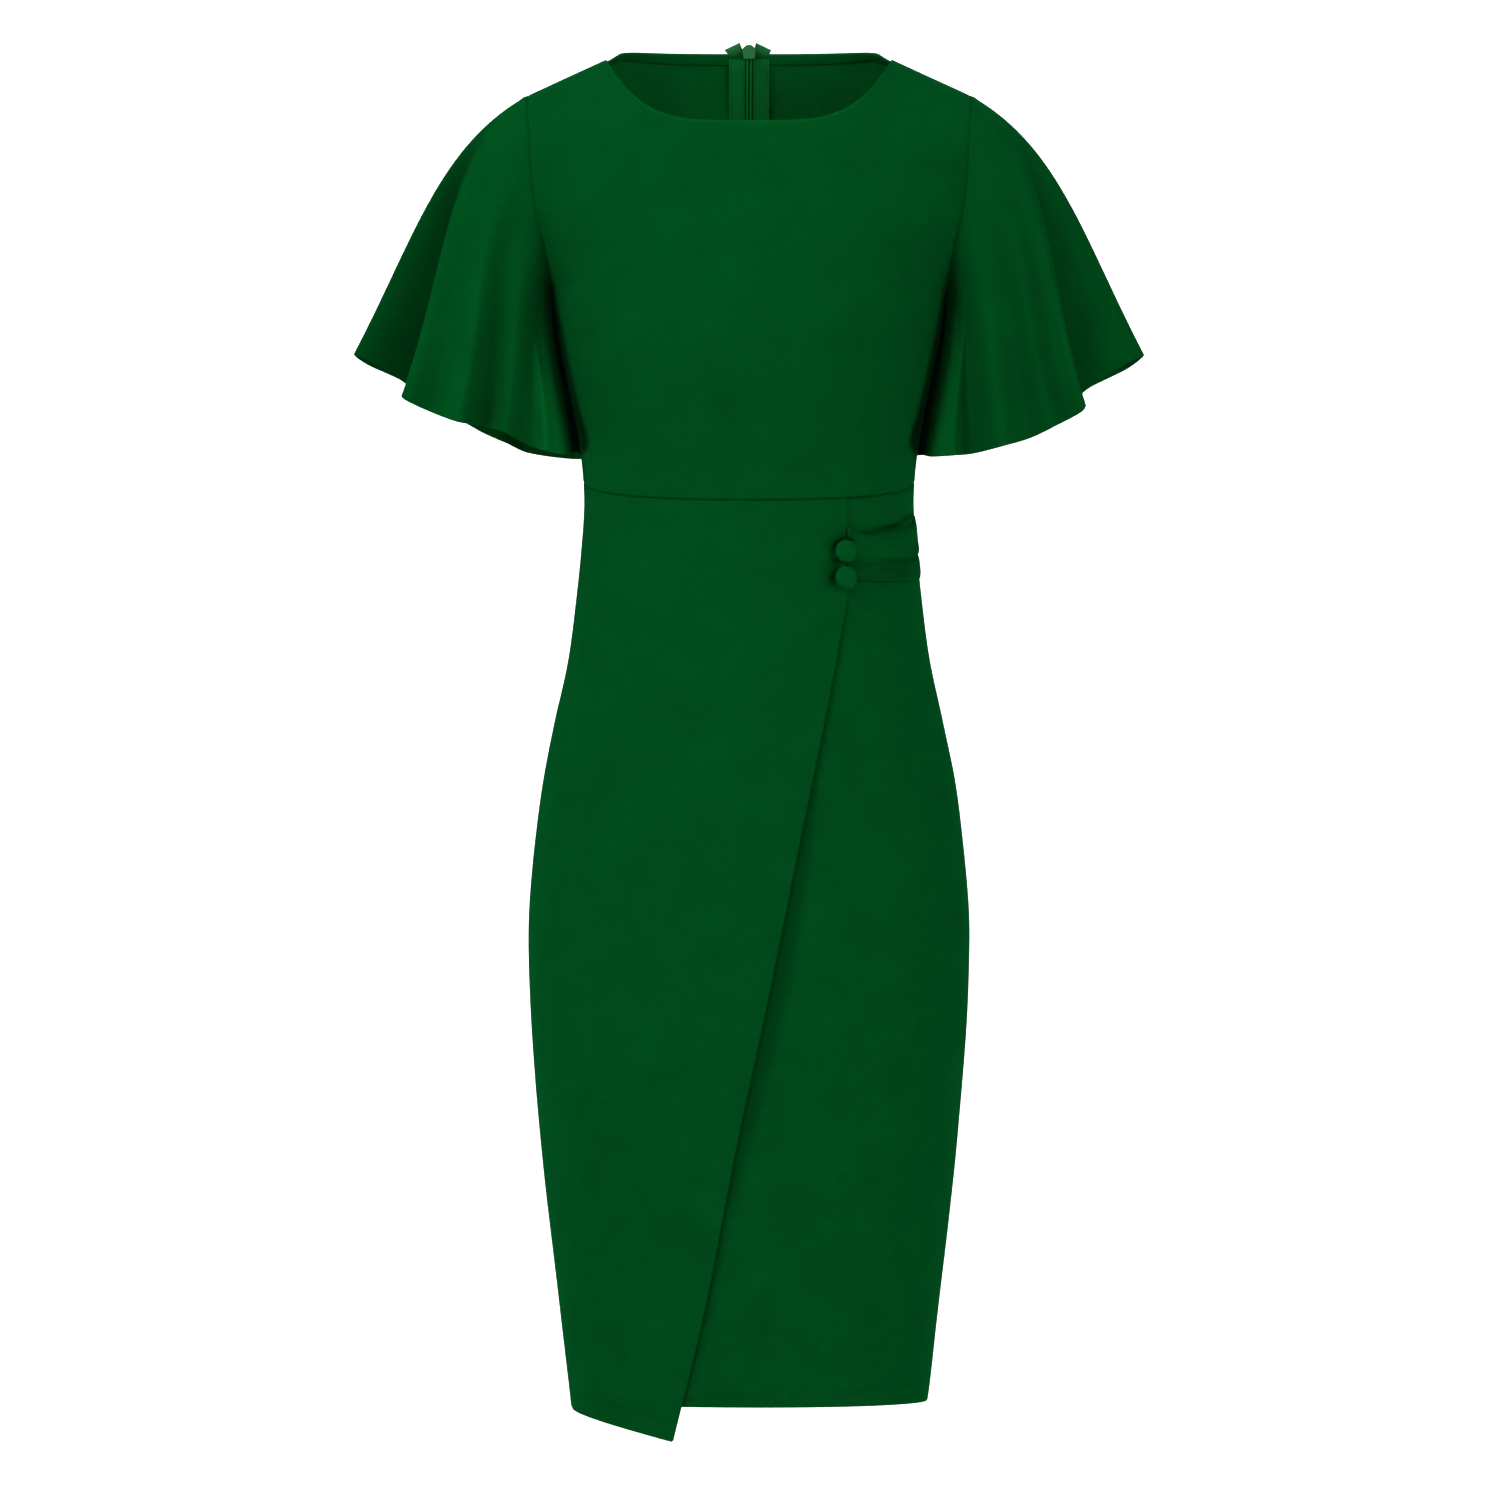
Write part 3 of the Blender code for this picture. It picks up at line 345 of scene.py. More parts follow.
def neck_column(back):
    """The s of the column that ends at the neck end of the shoulder seam."""
    tries = np.linspace(0.3, 0.9, 6001)
    x = body(tries, NECK_LEVEL, back)[:, 0]
    return float(tries[np.searchsorted(x, NECK_HALF)])


print("neck corner at s =", round(neck_column(False), 3), "in front,", round(neck_column(True), 3), "behind")

# %% [markdown]
# ## From grids of points to cloth
#
# Every panel is a grid of points: rows go up, and columns go round so that the outside is the side
# from which rows and columns turn anticlockwise. A grid could be a subdivided plane pulled into shape
# with modifiers, but then the seams would wander: worked out directly, an edge lies exactly on its
# seam line. Points crowd together near the edges, where a seam or a turned edge needs them.
#
# Each point also carries a *shade* that the material multiplies its colour by: 1 on open cloth, less
# for painted shade in the bottom of a seam or where little light gets in, and more for a painted
# highlight on an edge or a ridge that catches the light.

# %% Grid helpers
EDGE_STEPS = (0.0, 0.0005, 0.0010, 0.0016, 0.0024, 0.0036)    # the crowded points beside an edge
CLOTH_STEP = 0.0034       # between points on open cloth


def spaced(long, step=CLOTH_STEP, edges=EDGE_STEPS):
    """Shares from 0 to 1 along a length, crowded near both ends."""
    inner = long - 2 * edges[-1]
    count = max(int(inner / step), 2)
    middle = [edges[-1] + inner * k / count for k in range(1, count)]
    return np.array([*edges, *middle, *(long - e for e in reversed(edges))]) / long


def lengths(points, axis):
    """How far along its row or column each point lies."""
    step = np.linalg.norm(np.diff(points, axis=axis), axis=-1)
    zero = np.zeros_like(np.take(step, [0], axis=axis))
    return np.cumsum(np.concatenate([zero, step], axis=axis), axis=axis)


def facing(points, ring=False):
    """The outward unit normals of a grid."""
    if ring:
        padded = np.concatenate([points[:, -1:], points, points[:, :1]], axis=1)
        across = padded[:, 2:] - padded[:, :-2]
    else:
        across = np.gradient(points, axis=1)
    normal = np.cross(across, np.gradient(points, axis=0))
    return normal / np.maximum(np.linalg.norm(normal, axis=-1, keepdims=True), 1e-12)


def unit(vectors):
    """The vectors at length 1."""
    return vectors / np.linalg.norm(vectors, axis=-1, keepdims=True)


def hump(distance, wide):
    """1 at a line, falling off softly over a width."""
    return np.exp(-((distance / wide) ** 2))


def clear_rise(value, low, high):
    """0 below low, 1 above high, soft between."""
    t = np.clip((value - low) / (high - low), 0, 1)
    return t * t * (3 - 2 * t)


print("a metre of cloth takes", len(spaced(1.0)), "points")


# %% Cloth from grids
CLOTH = 0.0011            # thickness of the crepe
WELD = 2e-6               # points nearer than this are one


def cloth(name, grids, material, slot, thick=CLOTH, ring=False, inside=None):
    """One piece of cloth from grids of points and shades that meet along shared points.

    The other side of the cloth may have a material of its own.
    """
    mesh = bmesh.new()
    layer = mesh.verts.layers.float.new("shade")
    for points, shade in grids:
        rows, columns = shade.shape
        verts = [[mesh.verts.new(p) for p in row] for row in points]
        for row, values in zip(verts, shade):
            for vert, value in zip(row, values):
                vert[layer] = float(value)
        for j in range(rows - 1):
            for i in range(columns if ring else columns - 1):
                k = (i + 1) % columns
                mesh.faces.new((verts[j][i], verts[j][k], verts[j + 1][k], verts[j + 1][i]))
    bmesh.ops.remove_doubles(mesh, verts=mesh.verts[:], dist=WELD)
    data = bpy.data.meshes.new(name)
    mesh.to_mesh(data)
    mesh.free()
    data.shade_smooth()
    data.materials.append(material)
    piece = bpy.data.objects.new(name, data)
    bpy.context.scene.collection.objects.link(piece)
    shell = piece.modifiers.new("thickness", "SOLIDIFY")
    shell.thickness = thick
    shell.offset = -1
    if inside:
        data.materials.append(inside)
        shell.material_offset = 1
    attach(piece, "dress")
    print(f"{name}: {len(data.polygons)} faces")
    return piece


def area(points):
    """The area of a grid in square metres."""
    a = points[1:, :-1] - points[:-1, :-1]
    b = points[:-1, 1:] - points[:-1, :-1]
    return float(np.linalg.norm(np.cross(a, b), axis=-1).sum())


print("crepe:", round(1000 * CLOTH, 1), "mm thick")

# %% [markdown]
# ## Turned edges and seams
#
# A neckline or hem on real cloth is not a cut edge: the cloth rolls over in a tiny half circle and
# lies back against its own inside. Doing the same in the mesh, with a few extra rows, gives the edge
# its soft highlight and the band that shows inside the neck. Where two panels are sewn together the
# cloth dips between them instead, so their edges are pressed in, and the two dips make one groove.

# %% Turned edges
FOLD = 0.00112            # radius of a turned edge
FOLD_STEPS = 7
TURN_FIRST = 0.001        # the rows inside: the first one's distance from the edge,
TURN_SHARES = (0.25, 0.5, 0.75)      # shares of the depth,
TURN_LAST = (0.0012, 0.0005, 0.0)    # and distances from the end
PRESS = 0.0004            # how far the stitches press the end of the turned cloth down
PRESS_OVER = 0.002


def turned(points, normals, depth, fold=FOLD):
    """Rows that continue a grid past its last row: round a fold and back down its inside."""
    edge = points[-1]
    out = normals[-1]
    away = unit(edge - points[-2])
    rows = [edge]
    for t in np.linspace(0, pi, FOLD_STEPS)[1:]:
        rows.append(edge - out * fold * (1 - cos(t)) + away * fold * sin(t))
    back = lengths(points[::-1], 0)
    inside = [TURN_FIRST, *(share * depth for share in TURN_SHARES), *(depth - e for e in TURN_LAST)]
    for d in inside:
        place = np.empty_like(edge)
        n = np.empty_like(edge)
        for i in range(edge.shape[0]):
            for k in range(3):
                place[i, k] = np.interp(d, back[:, i], points[::-1, i, k])
                n[i, k] = np.interp(d, back[:, i], normals[::-1, i, k])
        press = PRESS * clear_rise(d, depth - PRESS_OVER, depth)
        rows.append(place - n * (2 * fold - press))
    return np.array(rows)


def turned_side(points, side, depth, ring=False):
    """The turned edge on a grid's "top", "bottom", "first" column or "last" column."""
    normals = facing(points, ring)
    if side in ("first", "last"):
        points, normals = points.swapaxes(0, 1), normals.swapaxes(0, 1)
    if side in ("bottom", "first"):
        points, normals = points[::-1], normals[::-1]
    rows = turned(points, normals, depth)
    if side in ("bottom", "first"):
        rows = rows[::-1]
    return rows.swapaxes(0, 1) if side in ("first", "last") else rows


print("a turned edge is", round(2000 * FOLD, 2), "mm thick")


# %% Seams
# A seam: how deep and wide its dip is, and how dark the painted shade in its groove.
Seam = namedtuple("Seam", "deep wide dark")
WAIST_SEAM = Seam(0.0006, 0.0010, 0.42)
SIDE_SEAM = Seam(0.0006, 0.0012, 0.20)
ARMHOLE_SEAM = Seam(0.0005, 0.0011, 0.30)
BACK_SEAM = Seam(0.0007, 0.0011, 0.40)
SEAM_SHADE_WIDE = 0.8     # the painted shade line's width as a share of the dip's


def sewn(points, normals, seams):
    """The grid pressed in along its seams, with painted shade in their grooves; seams pairs a seam with
    distances.
    """
    shade = np.ones(points.shape[:2])
    for seam, distance in seams:
        points = points - normals * (seam.deep * hump(distance, seam.wide))[..., None]
        # Painted shade along the bottom of each seam's groove.
        shade *= 1 - seam.dark * hump(distance, SEAM_SHADE_WIDE * seam.wide)
    return points, shade


print("the deepest seam:", 1000 * BACK_SEAM.deep, "mm")


# %% [markdown]
# ## Creases
#
# This crepe is stretched smooth over the figure, so its creases are few and shallow: a little
# pulling from the underarms, across the waist and out from the buttons. Each one is a line across
# the panel with a width and a depth, negative for a trough. Over them lies a very slight
# unevenness, made of a few long waves, which keeps the light from sliding over the cloth as it
# would over plastic.

# %% Crease tables
FRONT_CREASES = table(
    "x z to_x to_z wide deep",
    (0.142, -0.186, 0.088, -0.238, 0.010, -0.0007), (0.146, -0.200, 0.098, -0.262, 0.008, 0.0004),
    (-0.142, -0.188, -0.092, -0.246, 0.010, -0.0006), (-0.070, -0.262, 0.060, -0.268, 0.016, -0.0005),
    (-0.112, -0.296, -0.040, -0.302, 0.007, -0.0004), (0.040, -0.306, 0.112, -0.296, 0.007, -0.0004),
    (-0.100, -0.326, -0.030, -0.322, 0.006, 0.0003), (-0.118, -0.352, -0.046, -0.364, 0.008, -0.0004),
    (0.062, -0.400, -0.060, -0.446, 0.012, -0.0005), (0.058, -0.420, -0.030, -0.498, 0.014, 0.0004),
    (0.118, -0.405, 0.070, -0.440, 0.010, -0.0005), (-0.130, -0.470, -0.050, -0.520, 0.018, -0.0005),
    (0.138, -0.500, 0.080, -0.545, 0.016, -0.0005), (-0.085, -0.760, -0.100, -0.985, 0.016, 0.0007),
    (0.072, -0.790, 0.082, -0.990, 0.018, -0.0006), (0.1345, -0.840, 0.1305, -1.000, 0.0045, 0.0010),
)
BACK_CREASES = table(
    "x z to_x to_z wide deep",
    (-0.128, -0.196, -0.060, -0.262, 0.012, -0.0009), (0.130, -0.190, 0.072, -0.250, 0.012, -0.0008),
    (-0.096, -0.286, -0.014, -0.300, 0.009, -0.0009), (0.018, -0.296, 0.102, -0.282, 0.009, -0.0009),
    (-0.108, -0.308, -0.030, -0.314, 0.006, 0.0006), (-0.104, -0.344, -0.016, -0.352, 0.010, -0.0010),
    (0.012, -0.350, 0.098, -0.340, 0.009, -0.0009), (-0.090, -0.372, -0.020, -0.382, 0.008, 0.0006),
    (0.030, -0.384, 0.106, -0.370, 0.010, 0.0006), (-0.070, -0.740, -0.110, -0.900, 0.022, -0.0010),
    (0.066, -0.730, 0.112, -0.910, 0.024, -0.0009), (-0.030, -0.800, -0.040, -0.995, 0.020, 0.0009),
    (0.046, -0.820, 0.052, -0.995, 0.018, 0.0008),
)
WAVES = ((31, 17, 0.4), (-19, 43, 2.1), (57, -23, 4.0), (11, 71, 1.2), (-67, -37, 5.3))
WAVE_HIGH = 0.00010
# Shares of a crease's length between which it comes in, and between which it dies away.
CREASE_FADE = (-0.25, 0.25, 0.65, 1.25)
CREASE_KEPT_OFF = 0.012   # how far from a panel's edges a crease has its whole depth
print(len(FRONT_CREASES), "creases in front,", len(BACK_CREASES), "behind")


# %% Creases on a grid
def crease_line(x, y, start, end, wide, fade):
    """1 along a line, falling off beside it and towards its ends."""
    dx, dy = end[0] - start[0], end[1] - start[1]
    long = sqrt(dx * dx + dy * dy)
    t = ((x - start[0]) * dx + (y - start[1]) * dy) / long**2
    off = ((x - start[0]) * dy - (y - start[1]) * dx) / long
    return hump(off, wide) * clear_rise(t, *fade[:2]) * (1 - clear_rise(t, *fade[2:]))


def crease_height(points, creases):
    """How far out each point is moved by the creases."""
    x, z = points[..., 0], points[..., 2]
    height = np.zeros_like(x)
    for c in creases:
        height += c.deep * crease_line(x, z, (c.x, c.z), (c.to_x, c.to_z), c.wide, CREASE_FADE)
    for a, b, turn in WAVES:
        height += WAVE_HIGH * np.sin(a * x + b * z + turn)
    return height


def creased(points, normals, creases):
    """The grid with its creases, which leave the edges where they are."""
    from_side = np.minimum(lengths(points, 1), lengths(points[:, ::-1], 1)[:, ::-1])
    from_end = np.minimum(lengths(points, 0), lengths(points[::-1], 0)[::-1])
    keep = clear_rise(np.minimum(from_side, from_end), 0.0, CREASE_KEPT_OFF)
    return points + normals * (crease_height(points, creases) * keep)[..., None]


deepest = max(abs(row.deep) for row in [*FRONT_CREASES, *BACK_CREASES])
print("the deepest crease:", round(1000 * deepest, 1), "mm")

# %% [markdown]
# ## Materials
#
# Crepe has a dry, pebbly surface: tiny irregular bumps from twisted yarns, no shine to speak of and
# a faint bloom where it turns away from you. The pebbles and the slow drift of the dye are the same
# effect on the dress, the tab and the buttons, so they are one node group with inputs for scale and
# strength. The group gives out a tone and a height; the shader stays in each material, where the
# sheen and its colour are set on the socket itself.

# %% Node helpers
def add_node(tree, kind, **values):
    """A node with its settings and the values of its inputs, by name."""
    node = tree.nodes.new(kind)
    for key, value in values.items():
        if key in node.inputs:
            node.inputs[key].default_value = value
        else:
            setattr(node, key, value)
    return node


def new_group(name, inputs, outputs):
    """A shader node group with its sockets, and its two end nodes."""
    tree = bpy.data.node_groups.new(name, "ShaderNodeTree")
    for title, value in inputs.items():
        socket = tree.interface.new_socket(title, in_out="INPUT", socket_type="NodeSocketFloat")
        socket.default_value = value
    for title in outputs:
        tree.interface.new_socket(title, in_out="OUTPUT", socket_type="NodeSocketFloat")
    return tree, tree.nodes.new("NodeGroupInput"), tree.nodes.new("NodeGroupOutput")


def math_node(tree, operation, a, b=0.0):
    """A Math node on values or sockets, and its result."""
    node = tree.nodes.new("ShaderNodeMath")
    node.operation = operation
    for socket, value in zip(node.inputs, (a, b)):
        if isinstance(value, (int, float)):
            socket.default_value = value
        else:
            tree.links.new(value, socket)
    return node.outputs[0]


# %% Crepe group
PEBBLE = 0.0009           # size of the pebbles
CRINKLE_SCALE = 95.0
CRINKLE_FLAT = 5.0        # how much finer the crinkle is up and down than across
CRINKLE_HIGH = 0.7        # beside the pebbles' height of 1
CLOUD_SCALE = 30.0
TONE_SHARES = (0.55, 0.45)  # of the crinkle and the pebbles in the tone, beside the cloud's 1


def crepe_group():
    """Pebbles, crosswise crinkle and the slow drift of the dye."""
    tree, start, end = new_group("crepe", {"Pebble size": PEBBLE, "Drift": 0.06}, ("Height", "Tone"))
    place = tree.nodes.new("ShaderNodeTexCoord").outputs["Object"]
    fine = math_node(tree, "DIVIDE", 1.0, start.outputs["Pebble size"])
    pebbles = add_node(tree, "ShaderNodeTexNoise", Detail=3.0, Roughness=0.6, Distortion=0.4)
    tree.links.new(place, pebbles.inputs["Vector"])
    tree.links.new(fine, pebbles.inputs["Scale"])
    squeeze = add_node(tree, "ShaderNodeMapping", Scale=(1.0, 1.0, CRINKLE_FLAT))
    tree.links.new(place, squeeze.inputs["Vector"])
    crinkle = add_node(tree, "ShaderNodeTexNoise", Scale=CRINKLE_SCALE, Detail=4.0, Roughness=0.55)
    tree.links.new(squeeze.outputs["Vector"], crinkle.inputs["Vector"])
    cloud = add_node(tree, "ShaderNodeTexNoise", Scale=CLOUD_SCALE, Detail=3.0, Roughness=0.5)
    tree.links.new(place, cloud.inputs["Vector"])
    ridges = math_node(tree, "MULTIPLY", crinkle.outputs["Fac"], CRINKLE_HIGH)
    tree.links.new(math_node(tree, "ADD", pebbles.outputs["Fac"], ridges), end.inputs["Height"])
    blend = cloud.outputs["Fac"]
    for texture, share in zip((crinkle, pebbles), TONE_SHARES):
        part = math_node(tree, "MULTIPLY", texture.outputs["Fac"], share)
        blend = math_node(tree, "ADD", part, blend)
    # Each texture is a half on average, so the blend is 1, and the drift is what differs from it.
    drift = math_node(tree, "MULTIPLY", math_node(tree, "SUBTRACT", blend, 1.0), start.outputs["Drift"])
    tree.links.new(math_node(tree, "ADD", drift, 1.0), end.inputs["Tone"])
    return tree


CREPE = crepe_group()
print("crepe group:", len(CREPE.nodes), "nodes")


# %% Cloth materials
def shaded_colour(tree, colour, tone):
    """A base colour times the tone and the shade that the mesh carries."""
    shade = add_node(tree, "ShaderNodeAttribute", attribute_name="shade")
    amount = math_node(tree, "MULTIPLY", tone, shade.outputs["Fac"])
    paint = add_node(tree, "ShaderNodeMix", data_type="RGBA", blend_type="MULTIPLY")
    paint.inputs[0].default_value = 1.0
    paint.inputs[6].default_value = (*colour, 1)
    tree.links.new(amount, paint.inputs[7])
    return paint.outputs[2]


def grouped_material(name, colour, group, settings, bump, bump_deep, rough, specular):
    """A material whose tone and relief come from a node group; returns it and its shader's inputs."""
    material = bpy.data.materials.new(name)
    material.use_nodes = True
    tree = material.node_tree
    shader = tree.nodes["Principled BSDF"]
    surface = tree.nodes.new("ShaderNodeGroup")
    surface.node_tree = group
    for title, value in settings.items():
        surface.inputs[title].default_value = value
    tree.links.new(shaded_colour(tree, colour, surface.outputs["Tone"]), shader.inputs["Base Color"])
    relief = add_node(tree, "ShaderNodeBump", Strength=bump, Distance=bump_deep)
    tree.links.new(surface.outputs["Height"], relief.inputs["Height"])
    tree.links.new(relief.outputs["Normal"], shader.inputs["Normal"])
    shader.inputs["Roughness"].default_value = rough
    shader.inputs["Specular IOR Level"].default_value = specular
    return material, shader.inputs


# %% Crepe
GREEN = (0.0003, 0.0490, 0.0079)
# The buttons' crepe is painted lighter than the dress's: painted light on their domes.
GREEN_BUTTONS = (0.0005, 0.0590, 0.0098)
GREEN_INSIDE = (0.0007, 0.1180, 0.0185)   # painted light: the wrong side is painted paler, as it shows inside the neck where little light reaches
SHEEN_GREEN = (0.02, 0.60, 0.20, 1)


def crepe_material(name, colour, pebble=PEBBLE, bump=0.35):
    """Dry crepe in a colour."""
    settings = {"Pebble size": pebble, "Drift": 0.30}
    material, inputs = grouped_material(name, colour, CREPE, settings, bump=bump, bump_deep=0.0004,
                                        rough=0.85, specular=0.0)
    inputs["Sheen Weight"].default_value = 0.06
    inputs["Sheen Roughness"].default_value = 0.45
    inputs["Sheen Tint"].default_value = SHEEN_GREEN
    return material


crepe = crepe_material("green crepe", GREEN)
button_crepe = crepe_material("green crepe on buttons", GREEN_BUTTONS, pebble=0.0007, bump=0.3)
crepe_inside = crepe_material("green crepe, wrong side", GREEN_INSIDE, bump=0.25)
print("materials:", crepe.name, "and", button_crepe.name)


# %% Panels
def panel(name, node, grids, flat, held="stretched", **how):
    """Crepe in place of a piece of the frame; the size of its flat cut is not used."""
    piece = cloth(name, grids, crepe, "crepe", **how)
    whole = sum(area(points) for points, _ in grids)
    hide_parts(node)
    print("  in place of", node + ",", round(whole, 3), "square metres")


# %% [markdown]
# ## The bodice
#
# The bodice has no darts: a front cut in one piece and two backs either side of the zip. A column of
# points runs from the waist seam up to the neckline or the shoulder seam. The rows above the
# underarm crowd towards the top, where the front rolls over the shoulder. At the neck the grid goes
# on round the turned edge. Below the underarm the sleeves hang close against the sides, and hardly
# any light reaches in between, so the shade darkens there.

# %% Bodice sizes
NECK_BAND = 0.0085        # depth of the turned band at the neck
NECK_RIM = 0.22           # painted highlight: how much lighter the edge of the front neckline is, where it catches the light
NECK_RIM_WIDE = 0.0013
NECK_PRESSED = 0.62       # how much of the turned edge is left at its ends
NECK_PRESSED_OVER = 0.05  # as a share of the way round
NECK_STEPS = 46
ROLL_STEPS = 52
SHOULDER_LONG = 0.0585
FAR = 1.0                 # a distance from a seam at which it no longer shows
NEAR_ENOUGH = 1e-9

# How far in from the silhouette a sleeve keeps the light off, at a level.
UNDER_SLEEVE = table(
    "level wide",
    (-0.300, 0.0000), (-0.294, 0.0070), (-0.283, 0.0078), (-0.270, 0.0062), (-0.245, 0.0050),
    (-0.205, 0.0046), (-0.182, 0.0026), (-0.166, 0.0000),
)
DARKEST = 0.06            # the light left where hardly any gets in
DARK_SOFT = 0.0022        # how soft the edge of that place is
DARK_LEAST = 0.0025       # where it is narrower than this it fades out

# Painted light and shade on the band inside the neck: its cloth behind, painted lighter, and in
# front, a painted highlight on its rim, a painted highlight on the edge that the stitches raise, and
# painted shade along the stitches.
BAND_BACK = 1.75
BAND_FRONT = 1.0
BAND_RIM = 1.3
BAND_RIM_ROWS = 5
BAND_EDGE_HIGHLIGHT = 1.95
BAND_STITCH_SHADE = 0.35
print("the sleeves darken the sides down to", UNDER_SLEEVE[0].level, "m")


# %% Bodice grids
def neck_fold(s, corner):
    """The radius of the neck's turned edge, which is pressed flat where front and back meet."""
    return FOLD * (NECK_PRESSED + (1 - NECK_PRESSED) * clear_rise(corner - np.abs(s), 0.0, NECK_PRESSED_OVER))


def bodice_grid(back, first, last):
    """The s of each column, the points, and which columns end at the neck."""
    corner = neck_column(back)
    neck = [corner * sin(pi / 2 * k / NECK_STEPS) for k in range(NECK_STEPS + 1)]
    tip = [corner + (1 - corner) * share for share in spaced(SHOULDER_LONG)[1:]]
    half = neck + tip
    s = np.array([-value for value in reversed(half[1:])] + half)
    s = s[(s >= first - NEAR_ENOUGH) & (s <= last + NEAR_ENOUGH)]
    if back:
        s = s[::-1]
    low = waist_seam(s, back)
    in_neck = np.abs(s) <= corner + NEAR_ENOUGH
    top = top_edge(s, back) - np.where(in_neck, neck_fold(s, corner), 0)
    lower = spaced(UNDERARM_LEVEL - WAIST_SIDE)
    upper = 0.5 - 0.5 * np.cos(pi * np.linspace(0, 1, ROLL_STEPS)[1:])
    rows = [low + (UNDERARM_LEVEL - low) * v for v in lower]
    rows += [UNDERARM_LEVEL + (top - UNDERARM_LEVEL) * v for v in upper]
    return s, body(s, np.array(rows), back), in_neck


def sleeve_shadow(points):
    """How much light is left beside the sleeves."""
    z = points[..., 2]
    from_side = section("half", z) - np.abs(points[..., 0])
    wide = read_off(UNDER_SLEEVE, "level", "wide", z)
    lit = clear_rise(from_side, wide - DARK_SOFT, wide + DARK_SOFT)
    return 1 - (1 - DARKEST) * (1 - lit) * clear_rise(wide, 0.0, DARK_LEAST)


def band_shade(band, back):
    """Painted light and shade on the neck band: lighter behind, a pale rim where the edge catches the light,
    a highlight where the stitches raise its inner edge and shade along them.
    """
    shade = np.full(band.shape[:2], BAND_BACK if back else BAND_FRONT)
    shade[:BAND_RIM_ROWS] = BAND_RIM
    shade[-3:-1] = BAND_EDGE_HIGHLIGHT
    shade[-1] = BAND_STITCH_SHADE
    return shade


print("neck columns:", 2 * NECK_STEPS + 1)


# %% Bodice pieces
def bodice_seams(s, points, in_neck):
    """The seams of a bodice panel, each with every point's distance from it."""
    row = lengths(points, 0)
    across = lengths(points, 1)
    above = points[..., 2] > UNDERARM_LEVEL
    seams = [(WAIST_SEAM, row), (ARMHOLE_SEAM, row[-1] - row + np.where(in_neck, FAR, 0.0))]
    for end, distance in zip((s[0], s[-1]), (across, across[:, -1:] - across)):
        if abs(end) < 0.5:
            seams.append((BACK_SEAM, distance))
        else:
            # This edge is a side seam below the underarm and part of the armhole above it.
            seams.append((SIDE_SEAM, distance + np.where(above, FAR, 0.0)))
            seams.append((ARMHOLE_SEAM, distance + np.where(above, 0.0, FAR)))
    return seams


def bodice_piece(node, back, first, last, creases, flat):
    """A bodice panel with its seams, creases and turned neck edge."""
    s, points, in_neck = bodice_grid(back, first, last)
    points = creased(points, facing(points), creases)
    row = lengths(points, 0)
    points, shade = sewn(points, facing(points), bodice_seams(s, points, in_neck))
    shade *= sleeve_shadow(points)
    if not back:
        # A painted highlight along the front neckline's turned edge.
        below_neck = row[-1] - row + np.where(in_neck, 0.0, FAR)
        shade *= 1 + NECK_RIM * hump(below_neck, NECK_RIM_WIDE)
    pick = np.flatnonzero(in_neck)
    fold = neck_fold(s[pick], neck_column(back))[:, None]
    band = turned(points[:, pick], facing(points)[:, pick], NECK_BAND, fold=fold)
    grids = [(points, shade), (band, band_shade(band, back))]
    panel(f"cloth_{node}", node, grids, flat, inside=crepe_inside)


bodice_piece("bodice_front", False, -1, 1, FRONT_CREASES, (0.42, 0.36))
for side, first, last in (("right", -1, 0), ("left", 0, 1)):
    bodice_piece(f"bodice_back_{side}", True, first, last, BACK_CREASES, (0.21, 0.36))

# %% [markdown]
# ## Where the side tab and its buttons lie
#
# The tab is pulled tight over the skirt's left side and stands on it, so a dark line runs along its
# upper edge, and the buttons leave dark crescents on the cloth above them and to their right. Such
# narrow shadows are weaker in soft light than in the photo, so they are painted into the shade. The
# skirt's panels need those places, so the tab's sizes come first.

# %% Tab sizes
TAB_PLEATS = table(
    "share proud",
    (0.00, 0.0008), (0.10, 0.0022), (0.30, 0.0020), (0.40, 0.0008), (0.47, 0.0026), (0.70, 0.0024),
    (0.92, 0.0021), (1.00, 0.0006),
)
TAB_GATHERS = table(
    "along height",
    (0.00, 0.45), (0.20, 0.80), (0.60, 1.00), (0.85, 0.50), (1.00, 0.02),
)
TAB_END = 0.0725          # how far its end lies from the centre line
TAB_SIDE = 0.995          # its other end's share of the way to the side seam
TAB_CLEAR = 0.0020        # how far it stands off the skirt

# The tab's edges: share of the way from the buttons to the side seam, and level.
TAB_TOP = table(
    "along level",
    (0.00, -0.3560), (0.14, -0.3606), (0.28, -0.3592), (0.48, -0.3566), (0.72, -0.3519),
    (1.00, -0.3440),
)
TAB_BOTTOM = table(
    "along level",
    (0.00, -0.3930), (0.30, -0.3938), (0.60, -0.3929), (0.80, -0.3908), (1.00, -0.3873),
)


def tab_border(border, along):
    """The level of one of the tab's edges."""
    return read_off(border, "along", "level", along)


print("tab:", round(1000 * (tab_border(TAB_TOP, 0.5) - tab_border(TAB_BOTTOM, 0.5))), "mm wide in its middle")


# %% Button places
BUTTON_LEVELS = {"button_upper": -0.3735, "button_lower": -0.3930}
BUTTON_FROM_CENTRE = 0.0690

TAB_LINE = 0.0018         # width of the dark line over the tab's upper edge
TAB_LINE_SHADE = 0.78
TAB_LINE_OVER = 0.0004    # how far over the edge its middle runs
TAB_LINE_FROM = (-0.04, 0.06)   # shares of the tab's length between which it comes in

